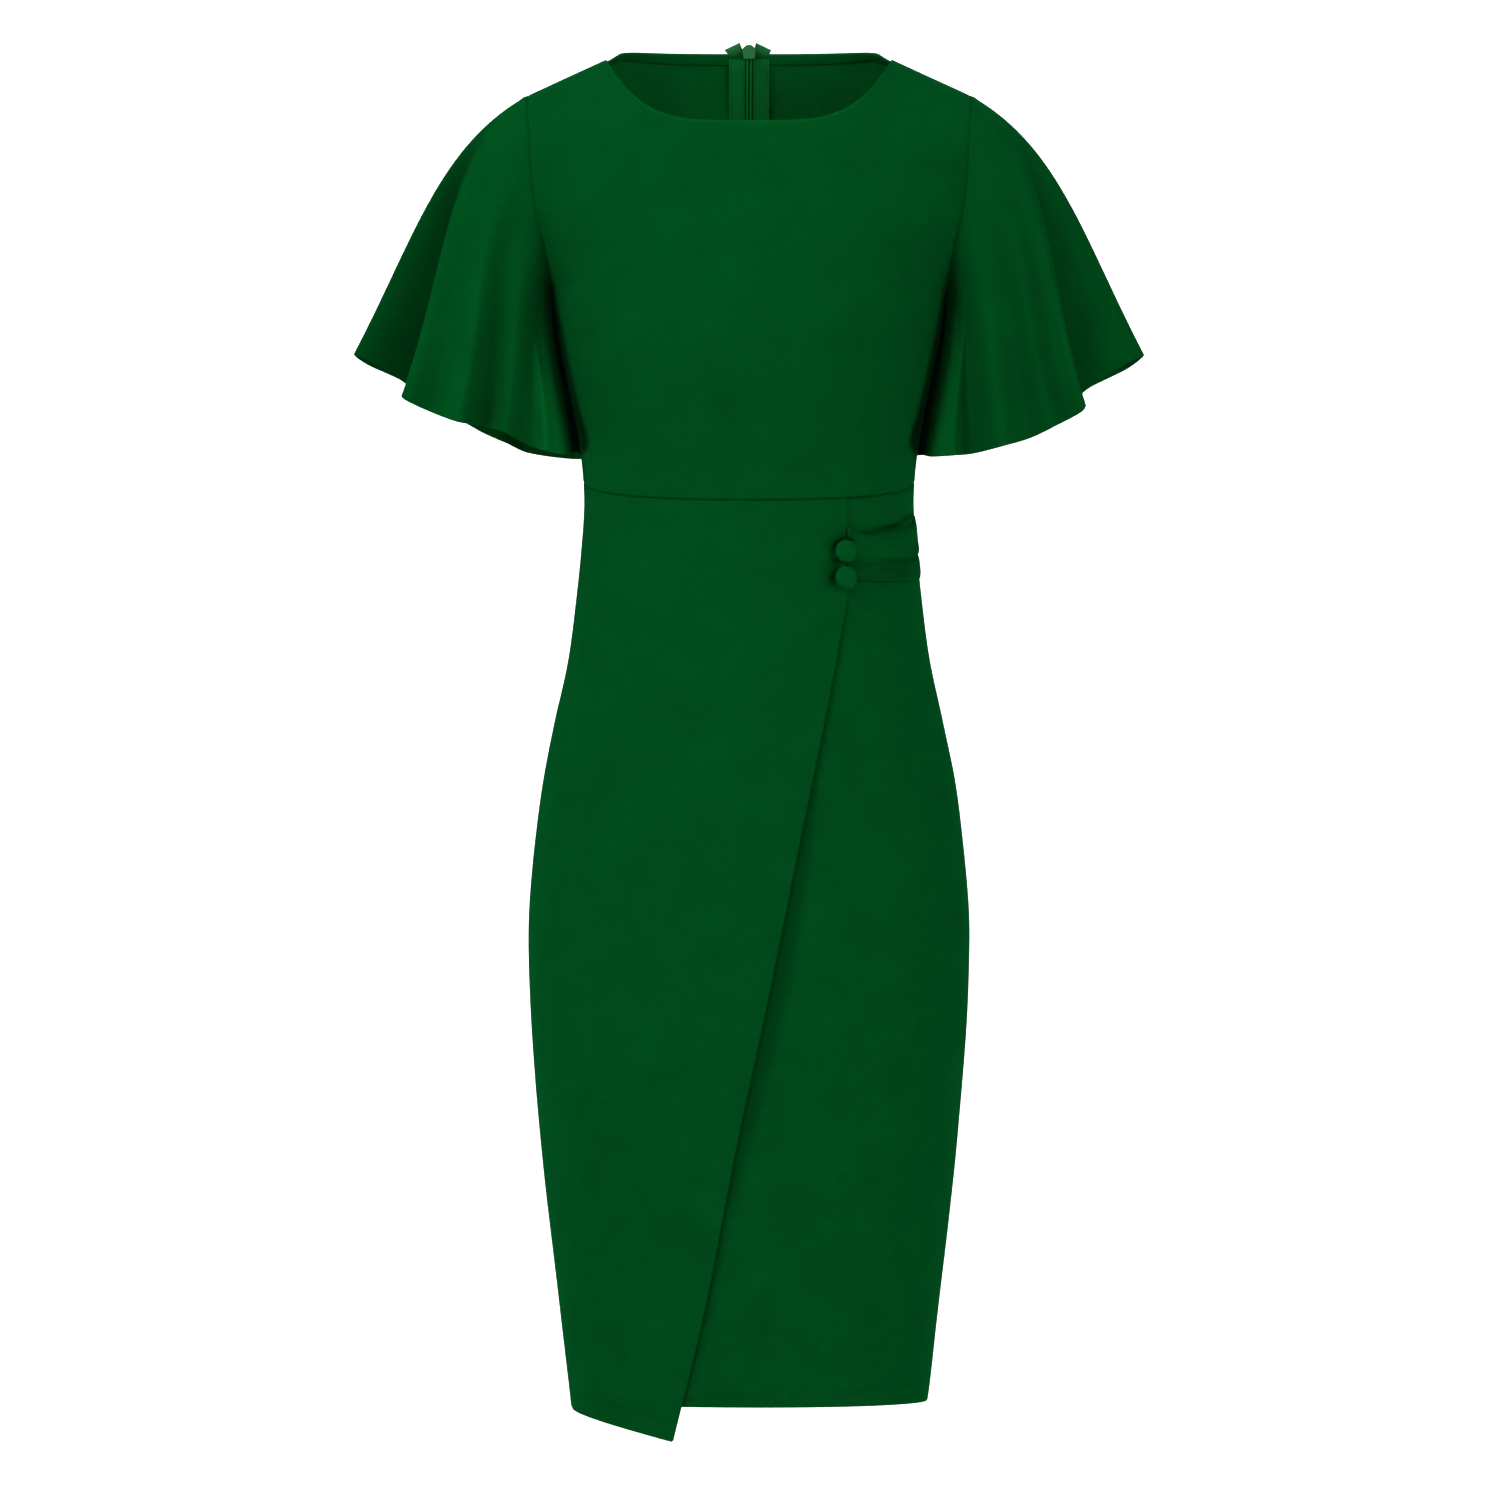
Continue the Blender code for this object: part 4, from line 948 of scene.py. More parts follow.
# A dark crescent beside a button: its middle and half width as angles from the wearer's left, its
# width and how dark it is.
CRESCENTS = table(
    "node middle half wide dark",
    ("button_upper", 118, 80, 0.0021, 0.95), ("button_upper", 218, 32, 0.0017, 0.85),
    ("button_lower", 168, 62, 0.0016, 0.80),
)
CRESCENT_FAR = 0.0089     # from the button's middle
CRESCENT_SHIFT = 0.0020   # the button stands over the cloth, so its shadow's middle lies further left
CRESCENT_FADE = (0.4, 1.0)  # shares of the half width between which a crescent dies away
SOFT_FAR = 0.0110         # a softer shadow round each crescent: its distance, width and depth
SOFT_WIDE = 0.0050
SOFT_DARK = 0.26


def button_shadow(points):
    """How much light is left on the cloth beside the buttons."""
    x, z = points[..., 0], points[..., 2]
    light = np.ones_like(x)
    for row in CRESCENTS:
        dx, dz = x - BUTTON_FROM_CENTRE - CRESCENT_SHIFT, z - BUTTON_LEVELS[row.node]
        far = np.hypot(dx, dz)
        turn = np.abs((np.degrees(np.arctan2(dz, dx)) - row.middle + 180) % 360 - 180) / row.half
        side = 1 - clear_rise(turn, *CRESCENT_FADE)
        light *= 1 - row.dark * hump(far - CRESCENT_FAR, row.wide) * side
        light *= 1 - SOFT_DARK * hump(far - SOFT_FAR, SOFT_WIDE) * side
    return light


def tab_shadow(points):
    """How much light is left on the cloth around the tab and the buttons."""
    x, z = points[..., 0], points[..., 2]
    end = section("half", z)
    along = (x - TAB_END) / (end - TAB_END)
    over = z - tab_border(TAB_TOP, np.clip(along, 0, 1))
    line = TAB_LINE_SHADE * hump(over - TAB_LINE_OVER, TAB_LINE) * clear_rise(along, *TAB_LINE_FROM)
    return button_shadow(points) * (1 - line)


print(len(CRESCENTS), "crescents beside", len(BUTTON_LEVELS), "buttons")

# %% [markdown]
# ## The skirt
#
# The front is two layers. The wrap comes from the right side seam, lies on top and ends in a long
# slanting edge that falls to a point. The under panel comes from the left side seam and goes on
# beneath it. On the photo a soft band of shadow runs beside the slanting edge, widest half way
# down, so the edge stands off the layer below there and lies flat again at both ends. That narrow
# gap gives only a thin dark line, so the soft band itself is painted into the lower panel's shade.

# %% Skirt sizes
WRAP_EDGE = table(
    "level across",
    (-0.325, 0.0715), (-0.405, 0.0715), (-0.430, 0.0675), (-0.482, 0.0578), (-0.592, 0.0352),
    (-0.704, 0.0125), (-0.811, -0.0104), (-0.930, -0.0334), (-1.029, -0.0573),
)
HEM_DROP = 0.0035         # how much lower the hem is at the side seams
WRAP_HEM_SIDE = -1.0120   # level of the wrap's hem beside the right side seam
WRAP_POINT = -1.029       # and at its point
WRAP_CORNER = 0.10        # how soon after the seam it has fallen to that level
UNDER_REACH = 0.085       # how far the under panel goes on beneath the wrap
UNDER_RISE = (0.12, 0.92)   # shares of the way to the side between which it rises to the surface
LAYER = 0.0022            # how far it lies beneath the wrap before that
HEM_TURN = 0.014
EDGE_TURN = 0.012
HEM_STEPS = (*EDGE_STEPS, 0.0070, 0.0105, 0.0131, 0.0139, 0.0147)
# The hem's stitch line: a shallow dip with a little painted shade.
HEM_LINE = Seam(0.00012, 0.0009, 0.10)
WRAP_WIDE = 0.235         # the panels' sizes, from which the number of points follows
WRAP_LONG = 0.70
UNDER_WIDE = 0.27
BACK_WIDE = 0.20
SKIRT_LONG = 0.685

# Level, and how far the wrap's edge stands off the panel beneath it.
EDGE_LIFT = table(
    "level off",
    (-1.03, 0.0), (-0.96, 0.0002), (-0.82, 0.0006), (-0.68, 0.0007), (-0.55, 0.0005), (-0.44, 0.0001),
    (-0.36, 0.0),
)
EDGE_LIFT_WIDE = 0.020    # how far in from the edge that is felt

# Beside the edge the light is soft and weak over a band on the panel beneath: its width and depth.
EDGE_SHADOW = table(
    "level wide dark",
    (-1.010, 0.0030, 0.30), (-0.950, 0.0062, 0.32), (-0.890, 0.0062, 0.32), (-0.840, 0.0090, 0.32),
    (-0.780, 0.0140, 0.32), (-0.680, 0.0155, 0.32), (-0.600, 0.0125, 0.32), (-0.550, 0.0070, 0.30),
    (-0.460, 0.0045, 0.24), (-0.400, 0.0020, 0.12), (-0.340, 0.0015, 0.04),
)
EDGE_SHADOW_FADE = (0.55, 1.20)     # shares of its width between which the shadow dies away
print("the wrap falls", round(1000 * (HEM_LEVEL - WRAP_POINT)), "mm beneath the hem")


# %% Skirt edges
def wrap_edge(z):
    """How far the wrap's edge lies to the left of the centre line."""
    return read_off(WRAP_EDGE, "level", "across", z)


def edge_shadow(points):
    """How much light is left on the under panel beside the wrap's edge."""
    z = points[..., 2]
    wide = read_off(EDGE_SHADOW, "level", "wide", z)
    dark = read_off(EDGE_SHADOW, "level", "dark", z)
    beside = (points[..., 0] - wrap_edge(z)) / wide
    return 1 - dark * (1 - clear_rise(beside, *EDGE_SHADOW_FADE))


def hem_level(s):
    """The level of the hem of the backs and the under panel."""
    return HEM_LEVEL - HEM_DROP * s * s


def wrap_hem(s):
    """The level of the wrap's hem."""
    corner = np.sqrt(np.clip((s + 1) / WRAP_CORNER, 0, 1))
    side = hem_level(s) + (WRAP_HEM_SIDE - hem_level(s)) * corner
    half = section("half", WRAP_POINT)
    share = (half * np.sin(s * pi / 2) + half) / (wrap_edge(WRAP_POINT) + half)
    return side + (WRAP_POINT - WRAP_HEM_SIDE) * np.minimum(share, 1)


def skirt_levels(low, top, long):
    """The levels of a panel's points, rows crowded at the hem and at the waist."""
    return low + (top - low) * spaced(long, edges=HEM_STEPS)[:, None]


def skirt_sewn(points, normals, first=None, last=None):
    """A skirt panel sewn at the waist and at its first and last column, with its hem's line."""
    row = lengths(points, 0)
    across = lengths(points, 1)
    seams = [(WAIST_SEAM, row[-1] - row), (HEM_LINE, row - HEM_TURN)]
    if first:
        seams.append((first, across))
    if last:
        seams.append((last, across[:, -1:] - across))
    return sewn(points, normals, seams)


print("at the hem the wrap's edge is", round(-1000 * float(wrap_edge(HEM_LEVEL))), "mm right of the centre")


# %% Wrap
def wrap_column(share, z):
    """The s of a place between the right side seam and the wrap's edge."""
    return -1 + (column_at(wrap_edge(z), z) + 1) * share


def make_wrap():
    """The upper front panel, with its hem and its slanting edge turned in."""
    share = spaced(WRAP_WIDE)
    top = waist_seam(wrap_column(share, WAIST_SIDE), False)
    low = wrap_hem(wrap_column(share, WRAP_POINT)) + FOLD
    z = skirt_levels(low, top, WRAP_LONG)
    points = body(wrap_column(share, z), z, False)
    normals = facing(points)
    points = creased(points, normals, FRONT_CREASES)
    across = lengths(points, 1)
    off = read_off(EDGE_LIFT, "level", "off", points[..., 2])
    lifted = off * hump(across[:, -1:] - across, EDGE_LIFT_WIDE)
    points = points + normals * lifted[..., None]
    points, shade = skirt_sewn(points, normals, first=SIDE_SEAM)
    grids = [(points, shade * tab_shadow(points))]
    for edge, depth in (("bottom", HEM_TURN), ("last", EDGE_TURN)):
        fold = turned_side(points, edge, depth)
        grids.append((fold, np.ones(fold.shape[:2])))
    panel("cloth_skirt_wrap", "skirt_front_wrap", grids, (0.29, 0.74))


make_wrap()


# %% Under panel
def under_column(share, z):
    """The s of a place between the hidden edge and the left side seam."""
    start = column_at(wrap_edge(z) - UNDER_REACH, z)
    return start + (1 - start) * share


def make_under():
    """The lower front panel, sunk by one layer where the wrap covers it."""
    share = spaced(UNDER_WIDE)
    top = waist_seam(under_column(share, WAIST_SIDE), False)
    low = hem_level(under_column(share, HEM_LEVEL)) + FOLD
    z = skirt_levels(low, top, SKIRT_LONG)
    points = body(under_column(share, z), z, False)
    normals = facing(points)
    beside = (points[..., 0] - wrap_edge(z)) / (section("half", z) - wrap_edge(z))
    sunk = LAYER * (1 - clear_rise(beside, *UNDER_RISE))
    points = creased(points, normals, FRONT_CREASES) - normals * sunk[..., None]
    points, shade = skirt_sewn(points, normals, last=SIDE_SEAM)
    shade *= edge_shadow(points) * tab_shadow(points)
    hem = turned_side(points, "bottom", HEM_TURN)
    grids = [(points, shade), (hem, np.ones(hem.shape[:2]))]
    panel("cloth_skirt_under", "skirt_front_under", grids, (0.34, 0.72))


make_under()


# %% Skirt backs
def make_skirt_back(node, start, end, seams):
    """One back panel, from one column to the other, and the seams at them."""
    s = start + (end - start) * spaced(BACK_WIDE)
    z = skirt_levels(hem_level(s) + FOLD, WAIST_SIDE, SKIRT_LONG)
    points = body(s, z, True)
    normals = facing(points)
    points = creased(points, normals, BACK_CREASES)
    points, shade = skirt_sewn(points, normals, *seams)
    hem = turned_side(points, "bottom", HEM_TURN)
    panel(f"cloth_{node}", node, [(points, shade), (hem, np.ones(hem.shape[:2]))], (0.23, 0.72))


make_skirt_back("skirt_back_right", 0, -1, (BACK_SEAM, SIDE_SEAM))
make_skirt_back("skirt_back_left", 1, 0, (SIDE_SEAM, BACK_SEAM))

# %% [markdown]
# ## The sleeves
#
# A flutter sleeve is cut from part of a ring, so its hem is far longer than the armhole and falls in
# waves. Each column of points is one curve with two handles, like those of a drawing program: it
# leaves the armhole along the shoulder, turns and falls to its place on the hem. The hem's folds are
# a short table for each sleeve, because the two differ in the photo. A second table paints the folds
# that turn away from the light darker, and the ridges that catch it lighter.

# %% Sleeve folds
RIGHT_SLEEVE = table(
    "share out back level",
    (0.000, 0.1285, 0.000, -0.2955), (0.045, 0.1350, -0.026, -0.2985),
    (0.090, 0.1480, -0.055, -0.2980), (0.135, 0.1610, -0.049, -0.2940),
    (0.185, 0.1800, -0.063, -0.2847), (0.235, 0.1960, -0.049, -0.2794),
    (0.290, 0.2150, -0.070, -0.2770), (0.340, 0.2350, -0.052, -0.2690),
    (0.390, 0.2560, -0.056, -0.2590), (0.420, 0.2570, -0.034, -0.2550),
    (0.450, 0.2520, -0.013, -0.2490), (0.478, 0.2800, -0.004, -0.2300),
    (0.502, 0.2970, 0.010, -0.2220), (0.526, 0.2880, 0.027, -0.2282),
    (0.560, 0.2600, 0.032, -0.2415), (0.605, 0.2500, 0.060, -0.2550),
    (0.655, 0.2270, 0.048, -0.2650), (0.710, 0.2070, 0.070, -0.2750),
    (0.765, 0.1870, 0.051, -0.2850), (0.820, 0.1710, 0.065, -0.2920),
    (0.880, 0.1450, 0.054, -0.2970), (0.940, 0.1250, 0.040, -0.2985),
)
LEFT_SLEEVE = table(
    "share out back level",
    (0.000, 0.1285, 0.000, -0.2975), (0.045, 0.1350, -0.028, -0.3005),
    (0.090, 0.1500, -0.053, -0.3010), (0.140, 0.1655, -0.038, -0.2990),
    (0.195, 0.1860, -0.064, -0.2950), (0.250, 0.2060, -0.056, -0.2890),
    (0.305, 0.2240, -0.068, -0.2810), (0.350, 0.2370, -0.052, -0.2740),
    (0.392, 0.2490, -0.055, -0.2660), (0.420, 0.2490, -0.034, -0.2600),
    (0.450, 0.2480, -0.014, -0.2530), (0.478, 0.2780, -0.004, -0.2320),
    (0.502, 0.2970, 0.010, -0.2225), (0.526, 0.2860, 0.028, -0.2310),
    (0.560, 0.2580, 0.034, -0.2450), (0.610, 0.2460, 0.062, -0.2560),
    (0.660, 0.2220, 0.046, -0.2660), (0.715, 0.2040, 0.068, -0.2750),
    (0.775, 0.1840, 0.050, -0.2840), (0.830, 0.1690, 0.063, -0.2900),
    (0.885, 0.1450, 0.054, -0.2940), (0.940, 0.1250, 0.040, -0.2960),
)
CAP_ROUND = 0.076         # how far the curves' upper handle reaches out
CAP_SLOPE = (0.88, 0.0, -0.475)
FALL_ROUND = 0.098        # how far the lower handle reaches up from the hem
FALL_STEEPER = 0.24       # how much more it points down than the straight way does
STAND_OFF = 0.04          # how far a sleeve stands off the dress under the arm, as a share of the lift
STAND_OFF_FRONT = 0.20    # and how much more in front of the underarm
STAND_OFF_TO = 0.18       # up to this share of the way round
SLEEVE_AROUND = 264
SLEEVE_LONG = 0.19
SLEEVE_STEP = 0.003
ROUND = np.arange(SLEEVE_AROUND) / SLEEVE_AROUND   # shares of the way round: underarm, front, back
print(len(RIGHT_SLEEVE), "places on each sleeve's hem")


# %% Sleeve surface
def armhole_halves(sign):
    """The armhole's front and its back: which of its columns those are, and their levels."""
    front = ROUND <= 0.5
    v = np.where(front, 2 * ROUND, 2 - 2 * ROUND)
    for back, mask in ((False, front), (True, ~front)):
        top = top_edge(np.array([float(sign)]), back)[0]
        yield back, mask, UNDERARM_LEVEL + (top - UNDERARM_LEVEL) * (0.5 - 0.5 * np.cos(pi * v[mask]))


def armhole(sign):
    """Points of the armhole: up its front from the underarm, then down its back."""
    points = np.empty((SLEEVE_AROUND, 3))
    for back, mask, z in armhole_halves(sign):
        points[mask] = body(float(sign), z, back)
    return points


def hem_line(folds, sign):
    """A smooth closed curve through a sleeve's folds."""
    around = [(row.share - 1, row) for row in folds[-3:]]
    around += [(row.share, row) for row in folds]
    around += [(row.share + 1, row) for row in folds[:3]]
    knots = [knot for knot, _ in around]
    out, back, level = (smooth(knots, [getattr(row, key) for _, row in around], ROUND)
                        for key in ("out", "back", "level"))
    return np.stack([sign * out, back, level + FOLD], axis=-1)


def sleeve_grid(folds, sign):
    """The points of a sleeve: rows from the armhole to the hem, each once round."""
    start = armhole(sign)
    end = hem_line(folds, sign)
    lift = STAND_OFF + (1 - STAND_OFF) * np.sin(pi * ROUND) ** 3
    lift += STAND_OFF_FRONT * np.sin(pi * np.minimum(ROUND / STAND_OFF_TO, 1)) ** 2
    lift = lift[:, None]
    chord = end - start
    slope = np.array([sign * CAP_SLOPE[0], 0, CAP_SLOPE[2]]) * CAP_ROUND
    fall = unit(unit(chord) + np.array([0, 0, -FALL_STEEPER]) * lift) * FALL_ROUND
    first = start + chord / 3 * (1 - lift) + slope * lift
    second = end - chord / 3 * (1 - lift) - fall * lift
    t = spaced(SLEEVE_LONG, step=SLEEVE_STEP)[:, None, None]
    return start * (1 - t)**3 + first * (3 * t * (1 - t)**2) + second * (3 * t * t * (1 - t)) + end * t**3


print("armhole:", round(1000 * (armhole(1)[:, 2].max() - UNDERARM_LEVEL)), "mm high")


# %% Sleeve edges and shades
ALLOWANCE = (0.0045, 0.0008)   # the sleeve's own edge, tucked under the bodice's: how far in, in two rows
UNDER_BODICE = 0.0013
RIM = 0.0005              # the sleeve's cloth rises a little just outside the armhole seam
RIM_FROM_SEAM = 0.0032
RIM_WIDE = 0.0018
ARMHOLE_LINE = 0.0008     # width of the painted shade line along the seam on the sleeve
SLEEVE_TURN = 0.007
INNER_DARK = (0.018, 0.038)    # shares of the way round between which light reaches a sleeve again
INNER_DARK_DOWN = (0.172, 0.200)   # how far down it begins to be dark there, and is quite dark
DARK_FADE = 0.35          # the share of the length over which a painted fold comes in
PROBE = 0.002             # how far down the armhole's directions are measured

# Where a sleeve turns away from the light: share of the way round, width, where it starts, how dark.
# A ridge that catches the light is the same with its depth below 0.
RIGHT_DARKS = table(
    "share wide start deep",
    (0.440, 0.026, 0.10, 0.50), (0.475, 0.040, 0.05, 0.40), (0.300, 0.022, 0.20, -0.10),
    (0.064, 0.024, 0.10, -1.50), (0.110, 0.022, 0.35, -0.30), (0.235, 0.018, 0.25, 0.24),
)
LEFT_DARKS = table(
    "share wide start deep",
    (0.440, 0.026, 0.10, 0.24), (0.064, 0.024, 0.10, -0.90), (0.270, 0.045, 0.05, 0.17),
)
print(len(RIGHT_DARKS), "painted folds on the right sleeve,", len(LEFT_DARKS), "on the left")


# %% Sleeves
def armhole_frame(sign):
    """The unit directions at the armhole: along the bodice away from the edge, and outward."""
    inward = np.empty((SLEEVE_AROUND, 3))
    out = np.empty((SLEEVE_AROUND, 3))
    for back, mask, z in armhole_halves(sign):
        edge = body(sign, z, back)
        beside = body(sign * 0.99, z, back)
        beneath = body(sign * 0.995, z - PROBE, back)
        inward[mask] = unit(beside - edge)
        normal = unit(np.cross(beside - edge, beneath - edge))
        away = np.array([sign, 0, 0.9])
        out[mask] = normal * np.sign(normal @ away)[:, None]
    return inward, out


def sleeve_shade(points, share, seam, down, darks):
    """The painted shades of a sleeve: its seam's groove, the dark under the arm, and its painted folds."""
    cap = np.sin(pi * share) ** 2
    shade = 1 - ARMHOLE_SEAM.dark * hump(seam, ARMHOLE_LINE) * cap
    near = np.minimum(share, 1 - share)
    fallen = clear_rise(-points[..., 2], *INNER_DARK_DOWN)
    shade *= 1 - (1 - DARKEST) * (1 - clear_rise(near, *INNER_DARK)) * fallen
    for dark in darks:
        fade = clear_rise(down, dark.start, dark.start + DARK_FADE)
        shade *= 1 - dark.deep * hump(share - dark.share, dark.wide) * fade
    return shade


def make_sleeve(side, folds, darks):
    """A sleeve with its tucked edge at the armhole and its hem turned in."""
    sign = 1 if side == "left" else -1
    points = sleeve_grid(folds, sign)
    inward, out = armhole_frame(sign)
    tucked = np.array([points[0] + inward * by - out * UNDER_BODICE for by in ALLOWANCE])
    points = np.concatenate([tucked, points])
    share = ROUND
    if sign > 0:
        points = points[:, ::-1]
        share = share[::-1]
    row = lengths(points, 0)
    seam = np.abs(row - row[len(ALLOWANCE)])
    rise = RIM * hump(seam - RIM_FROM_SEAM, RIM_WIDE) * np.sin(pi * share) ** 2
    rise[:len(ALLOWANCE)] = 0
    risen = points + facing(points, ring=True) * rise[..., None]
    shade = sleeve_shade(risen, share, seam, row / row[-1], darks)
    hem = turned_side(risen, "top", SLEEVE_TURN, ring=True)
    grids = [(risen, shade), (hem, np.ones(hem.shape[:2]) * shade[-1])]
    panel(f"cloth_sleeve_{side}", f"sleeve_{side}", grids, (0.72, 0.30), held="hung", ring=True)


make_sleeve("left", LEFT_SLEEVE, LEFT_DARKS)
make_sleeve("right", RIGHT_SLEEVE, RIGHT_DARKS)

# %% [markdown]
# ## The side tab
#
# A short band of the same cloth is caught in the left side seam and drawn across to two covered
# buttons. It is gathered into pleats that run along it: a deep fold in the middle, and finer puckers
# that fan out from the buttons. The pleats are a profile across the width, weaker at both ends, and
# the puckers are short creases, listed one by one.

# %% Tab folds
TAB_ALONG = 150
TAB_UP = 110
TAB_CLOTH = 0.0007        # thickness of its cloth
TAB_TURN = 0.006
TAB_END_TURN = 0.004
TAB_SINKS = 0.7           # how much nearer to the skirt it lies at the side seam
TAB_SINKS_FROM = 0.70     # from this share of its length

# A pucker runs from one place on the tab to another, given as shares of its length and its width.
TAB_PUCKERS = table(
    "along up to_along to_up wide deep",
    (0.20, 0.86, 0.62, 0.92, 0.050, -0.0003), (0.22, 0.58, 0.95, 0.52, 0.060, 0.0004),
    (0.22, 0.43, 1.00, 0.36, 0.040, -0.0006), (0.20, 0.20, 0.80, 0.16, 0.050, -0.0003),
)
PUCKER_FADE = (-0.1, 0.2, 0.6, 1.1)
PUCKER_SHADE = 380        # painted shade in a pucker's troughs and painted light on its crests, per metre of its height, within these limits
PUCKER_SHADE_ENDS = (-0.40, 0.08)

# Painted shade: below its middle fold the tab turns away from the light, and its upper edge rolls into its
# line.
LOWER_FROM = 0.42
LOWER_OVER = 0.10
LOWER_DARK = 0.20
UPPER_EDGE_WIDE = 0.03
UPPER_EDGE_DARK = 0.5

# Soft patches of painted shade: the middle and the width along the tab, the same up it, and how
# dark or, below 0, how much painted light.
TAB_PATCHES = table(
    "along wide up high dark",
    (0.88, 0.36, 0.50, 0.17, 0.30), (0.97, 0.12, 0.14, 0.09, -0.30),
)
print(len(TAB_PLEATS), "rows of pleats and", len(TAB_PUCKERS), "puckers")


# %% Tab
def tab_place(along, up):
    """A point of the front under a place on the tab."""
    bottom = tab_border(TAB_BOTTOM, along)
    z = bottom + (tab_border(TAB_TOP, along) - bottom) * up
    start = column_at(TAB_END, z)
    return body(start + (TAB_SIDE - start) * along, z, False)


def tab_shade(points, along, up, crease):
    """The painted shades of the tab: its puckers, its lower half, its upper edge, the soft patches and the
    buttons' shadows.
    """
    shade = 1 + np.clip(crease * PUCKER_SHADE, *PUCKER_SHADE_ENDS)
    shade *= 1 - LOWER_DARK * clear_rise(LOWER_FROM - up, 0.0, LOWER_OVER)
    shade *= 1 - UPPER_EDGE_DARK * hump(up - 1.0, UPPER_EDGE_WIDE)
    for patch in TAB_PATCHES:
        shade *= 1 - patch.dark * hump(along - patch.along, patch.wide) * hump(up - patch.up, patch.high)
    return shade * button_shadow(points)


def make_tab():
    """The pleated tab, turned in on three sides; its fourth is caught in the side seam."""
    along, up = np.meshgrid(np.linspace(0, 1, TAB_ALONG), np.linspace(0, 1, TAB_UP))
    points = tab_place(along, up)
    proud = read_off(TAB_PLEATS, "share", "proud", up) * read_off(TAB_GATHERS, "along", "height", along)
    crease = np.zeros_like(along)
    for p in TAB_PUCKERS:
        crease += p.deep * crease_line(along, up, (p.along, p.up), (p.to_along, p.to_up), p.wide, PUCKER_FADE)
    shade = tab_shade(points, along, up, crease)
    clear = TAB_CLEAR * (1 - TAB_SINKS * clear_rise(along, TAB_SINKS_FROM, 1.0))
    points = points + facing(points) * (clear + proud + crease)[..., None]
    grids = [(points, shade)]
    for edge, depth in (("top", TAB_TURN), ("bottom", TAB_TURN), ("first", TAB_END_TURN)):
        fold = turned_side(points, edge, depth)
        grids.append((fold, button_shadow(fold)))
    panel("cloth_waist_tab", "waist_tab", grids, (0.12, 0.09), held="gathered", thick=TAB_CLOTH)


make_tab()

# %% [markdown]
# ## Covered buttons
#
# Each button is a dome covered in the same crepe, its edge pulled round to the back. A Screw modifier
# turns the profile, which makes a rounder and lighter mesh than a squashed sphere would.

# %% Button sizes
BUTTON_ACROSS = 0.0168
BUTTON_HIGH = 0.0062
BUTTON_SIDE = 0.30        # the share of its height that is its upright side
DOME_ROUND = 0.85         # below 1, the dome is fuller than half an ellipse
DOME_TO = pi / 2 - 0.02   # the angle at which the dome turns into the side
BUTTON_SEAT = 0.0041      # how far its foot stands over the skirt
DOME_STEPS = 22
BUTTON_STEPS = 72
PROBE_BESIDE = 0.001      # how far off the cloth's directions are measured

# The button's side below the dome: shares of its radius and of the side's height, and its painted shade,
# darker towards the foot.
BUTTON_FOOT = table(
    "out up shade",
    (1.0, 0.75, 0.85), (0.97, 0.4, 0.6), (0.86, 0.0, 0.4), (0.0, 0.0, 0.4),
)
print("a button:", round(1000 * BUTTON_ACROSS, 1), "mm across")


# %% Buttons
def button_profile():
    """The button's outline from its top to the middle of its foot: out, up and shade."""
    radius = BUTTON_ACROSS / 2
    side = BUTTON_HIGH * BUTTON_SIDE
    dome = [(radius * sin(t), BUTTON_HIGH * (BUTTON_SIDE + (1 - BUTTON_SIDE) * cos(t) ** DOME_ROUND), 1.0)
            for t in np.linspace(0, DOME_TO, DOME_STEPS)]
    return dome + [(radius * row.out, row.up * side, row.shade) for row in BUTTON_FOOT]


def button_place(level):
    """The button's seat on the skirt's front, facing straight out of it."""
    point = body(column_at(BUTTON_FROM_CENTRE, level), level, False)
    beside = body(column_at(BUTTON_FROM_CENTRE + PROBE_BESIDE, level), level, False)
    above = level + PROBE_BESIDE
    over = body(column_at(BUTTON_FROM_CENTRE, above), above, False)
    normal = Vector(unit(np.cross(beside - point, over - point)))
    facing_out = normal.to_track_quat("Z", "Y").to_matrix().to_4x4()
    return Matrix.Translation(Vector(point) + normal * BUTTON_SEAT) @ facing_out


def make_button(node, level):
    """A covered button, turned from its profile."""
    mesh = bmesh.new()
    shade = mesh.verts.layers.float.new("shade")
    corners = []
    for x, z, value in button_profile():
        corners.append(mesh.verts.new((x, 0, z)))
        corners[-1][shade] = value
    for a, b in zip(corners, corners[1:]):
        mesh.edges.new((a, b))
    data = bpy.data.meshes.new(node)
    mesh.to_mesh(data)
    mesh.free()
    data.shade_smooth()
    data.materials.append(button_crepe)
    button = bpy.data.objects.new(f"covered_{node}", data)
    bpy.context.scene.collection.objects.link(button)
    turn = button.modifiers.new("turned", "SCREW")
    turn.axis = "Z"
    turn.steps = turn.render_steps = BUTTON_STEPS
    turn.use_merge_vertices = True
    turn.merge_threshold = 0.00002
    turn.use_smooth_shade = True
    button.matrix_world = button_place(level)
    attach(button, "dress")
    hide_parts(node)


for node, level in BUTTON_LEVELS.items():
    make_button(node, level)
print("two buttons")

# %% [markdown]
# ## The zip
#
# An invisible-looking zip in matching green: two tapes with firm woven edges, folded back into small
# leaning ears at the top, and a coil whose turns are fine ridges. Only its top shows at the back of
# the neck, but inside it runs down past the waist. The tapes lie on the inside of the backs, so
# their points come from the back's own surface, moved in.

# %% Zip materials
RIB = 0.0007              # size of the tape's ribs
RIB_TONE = 0.08           # how much their tone differs


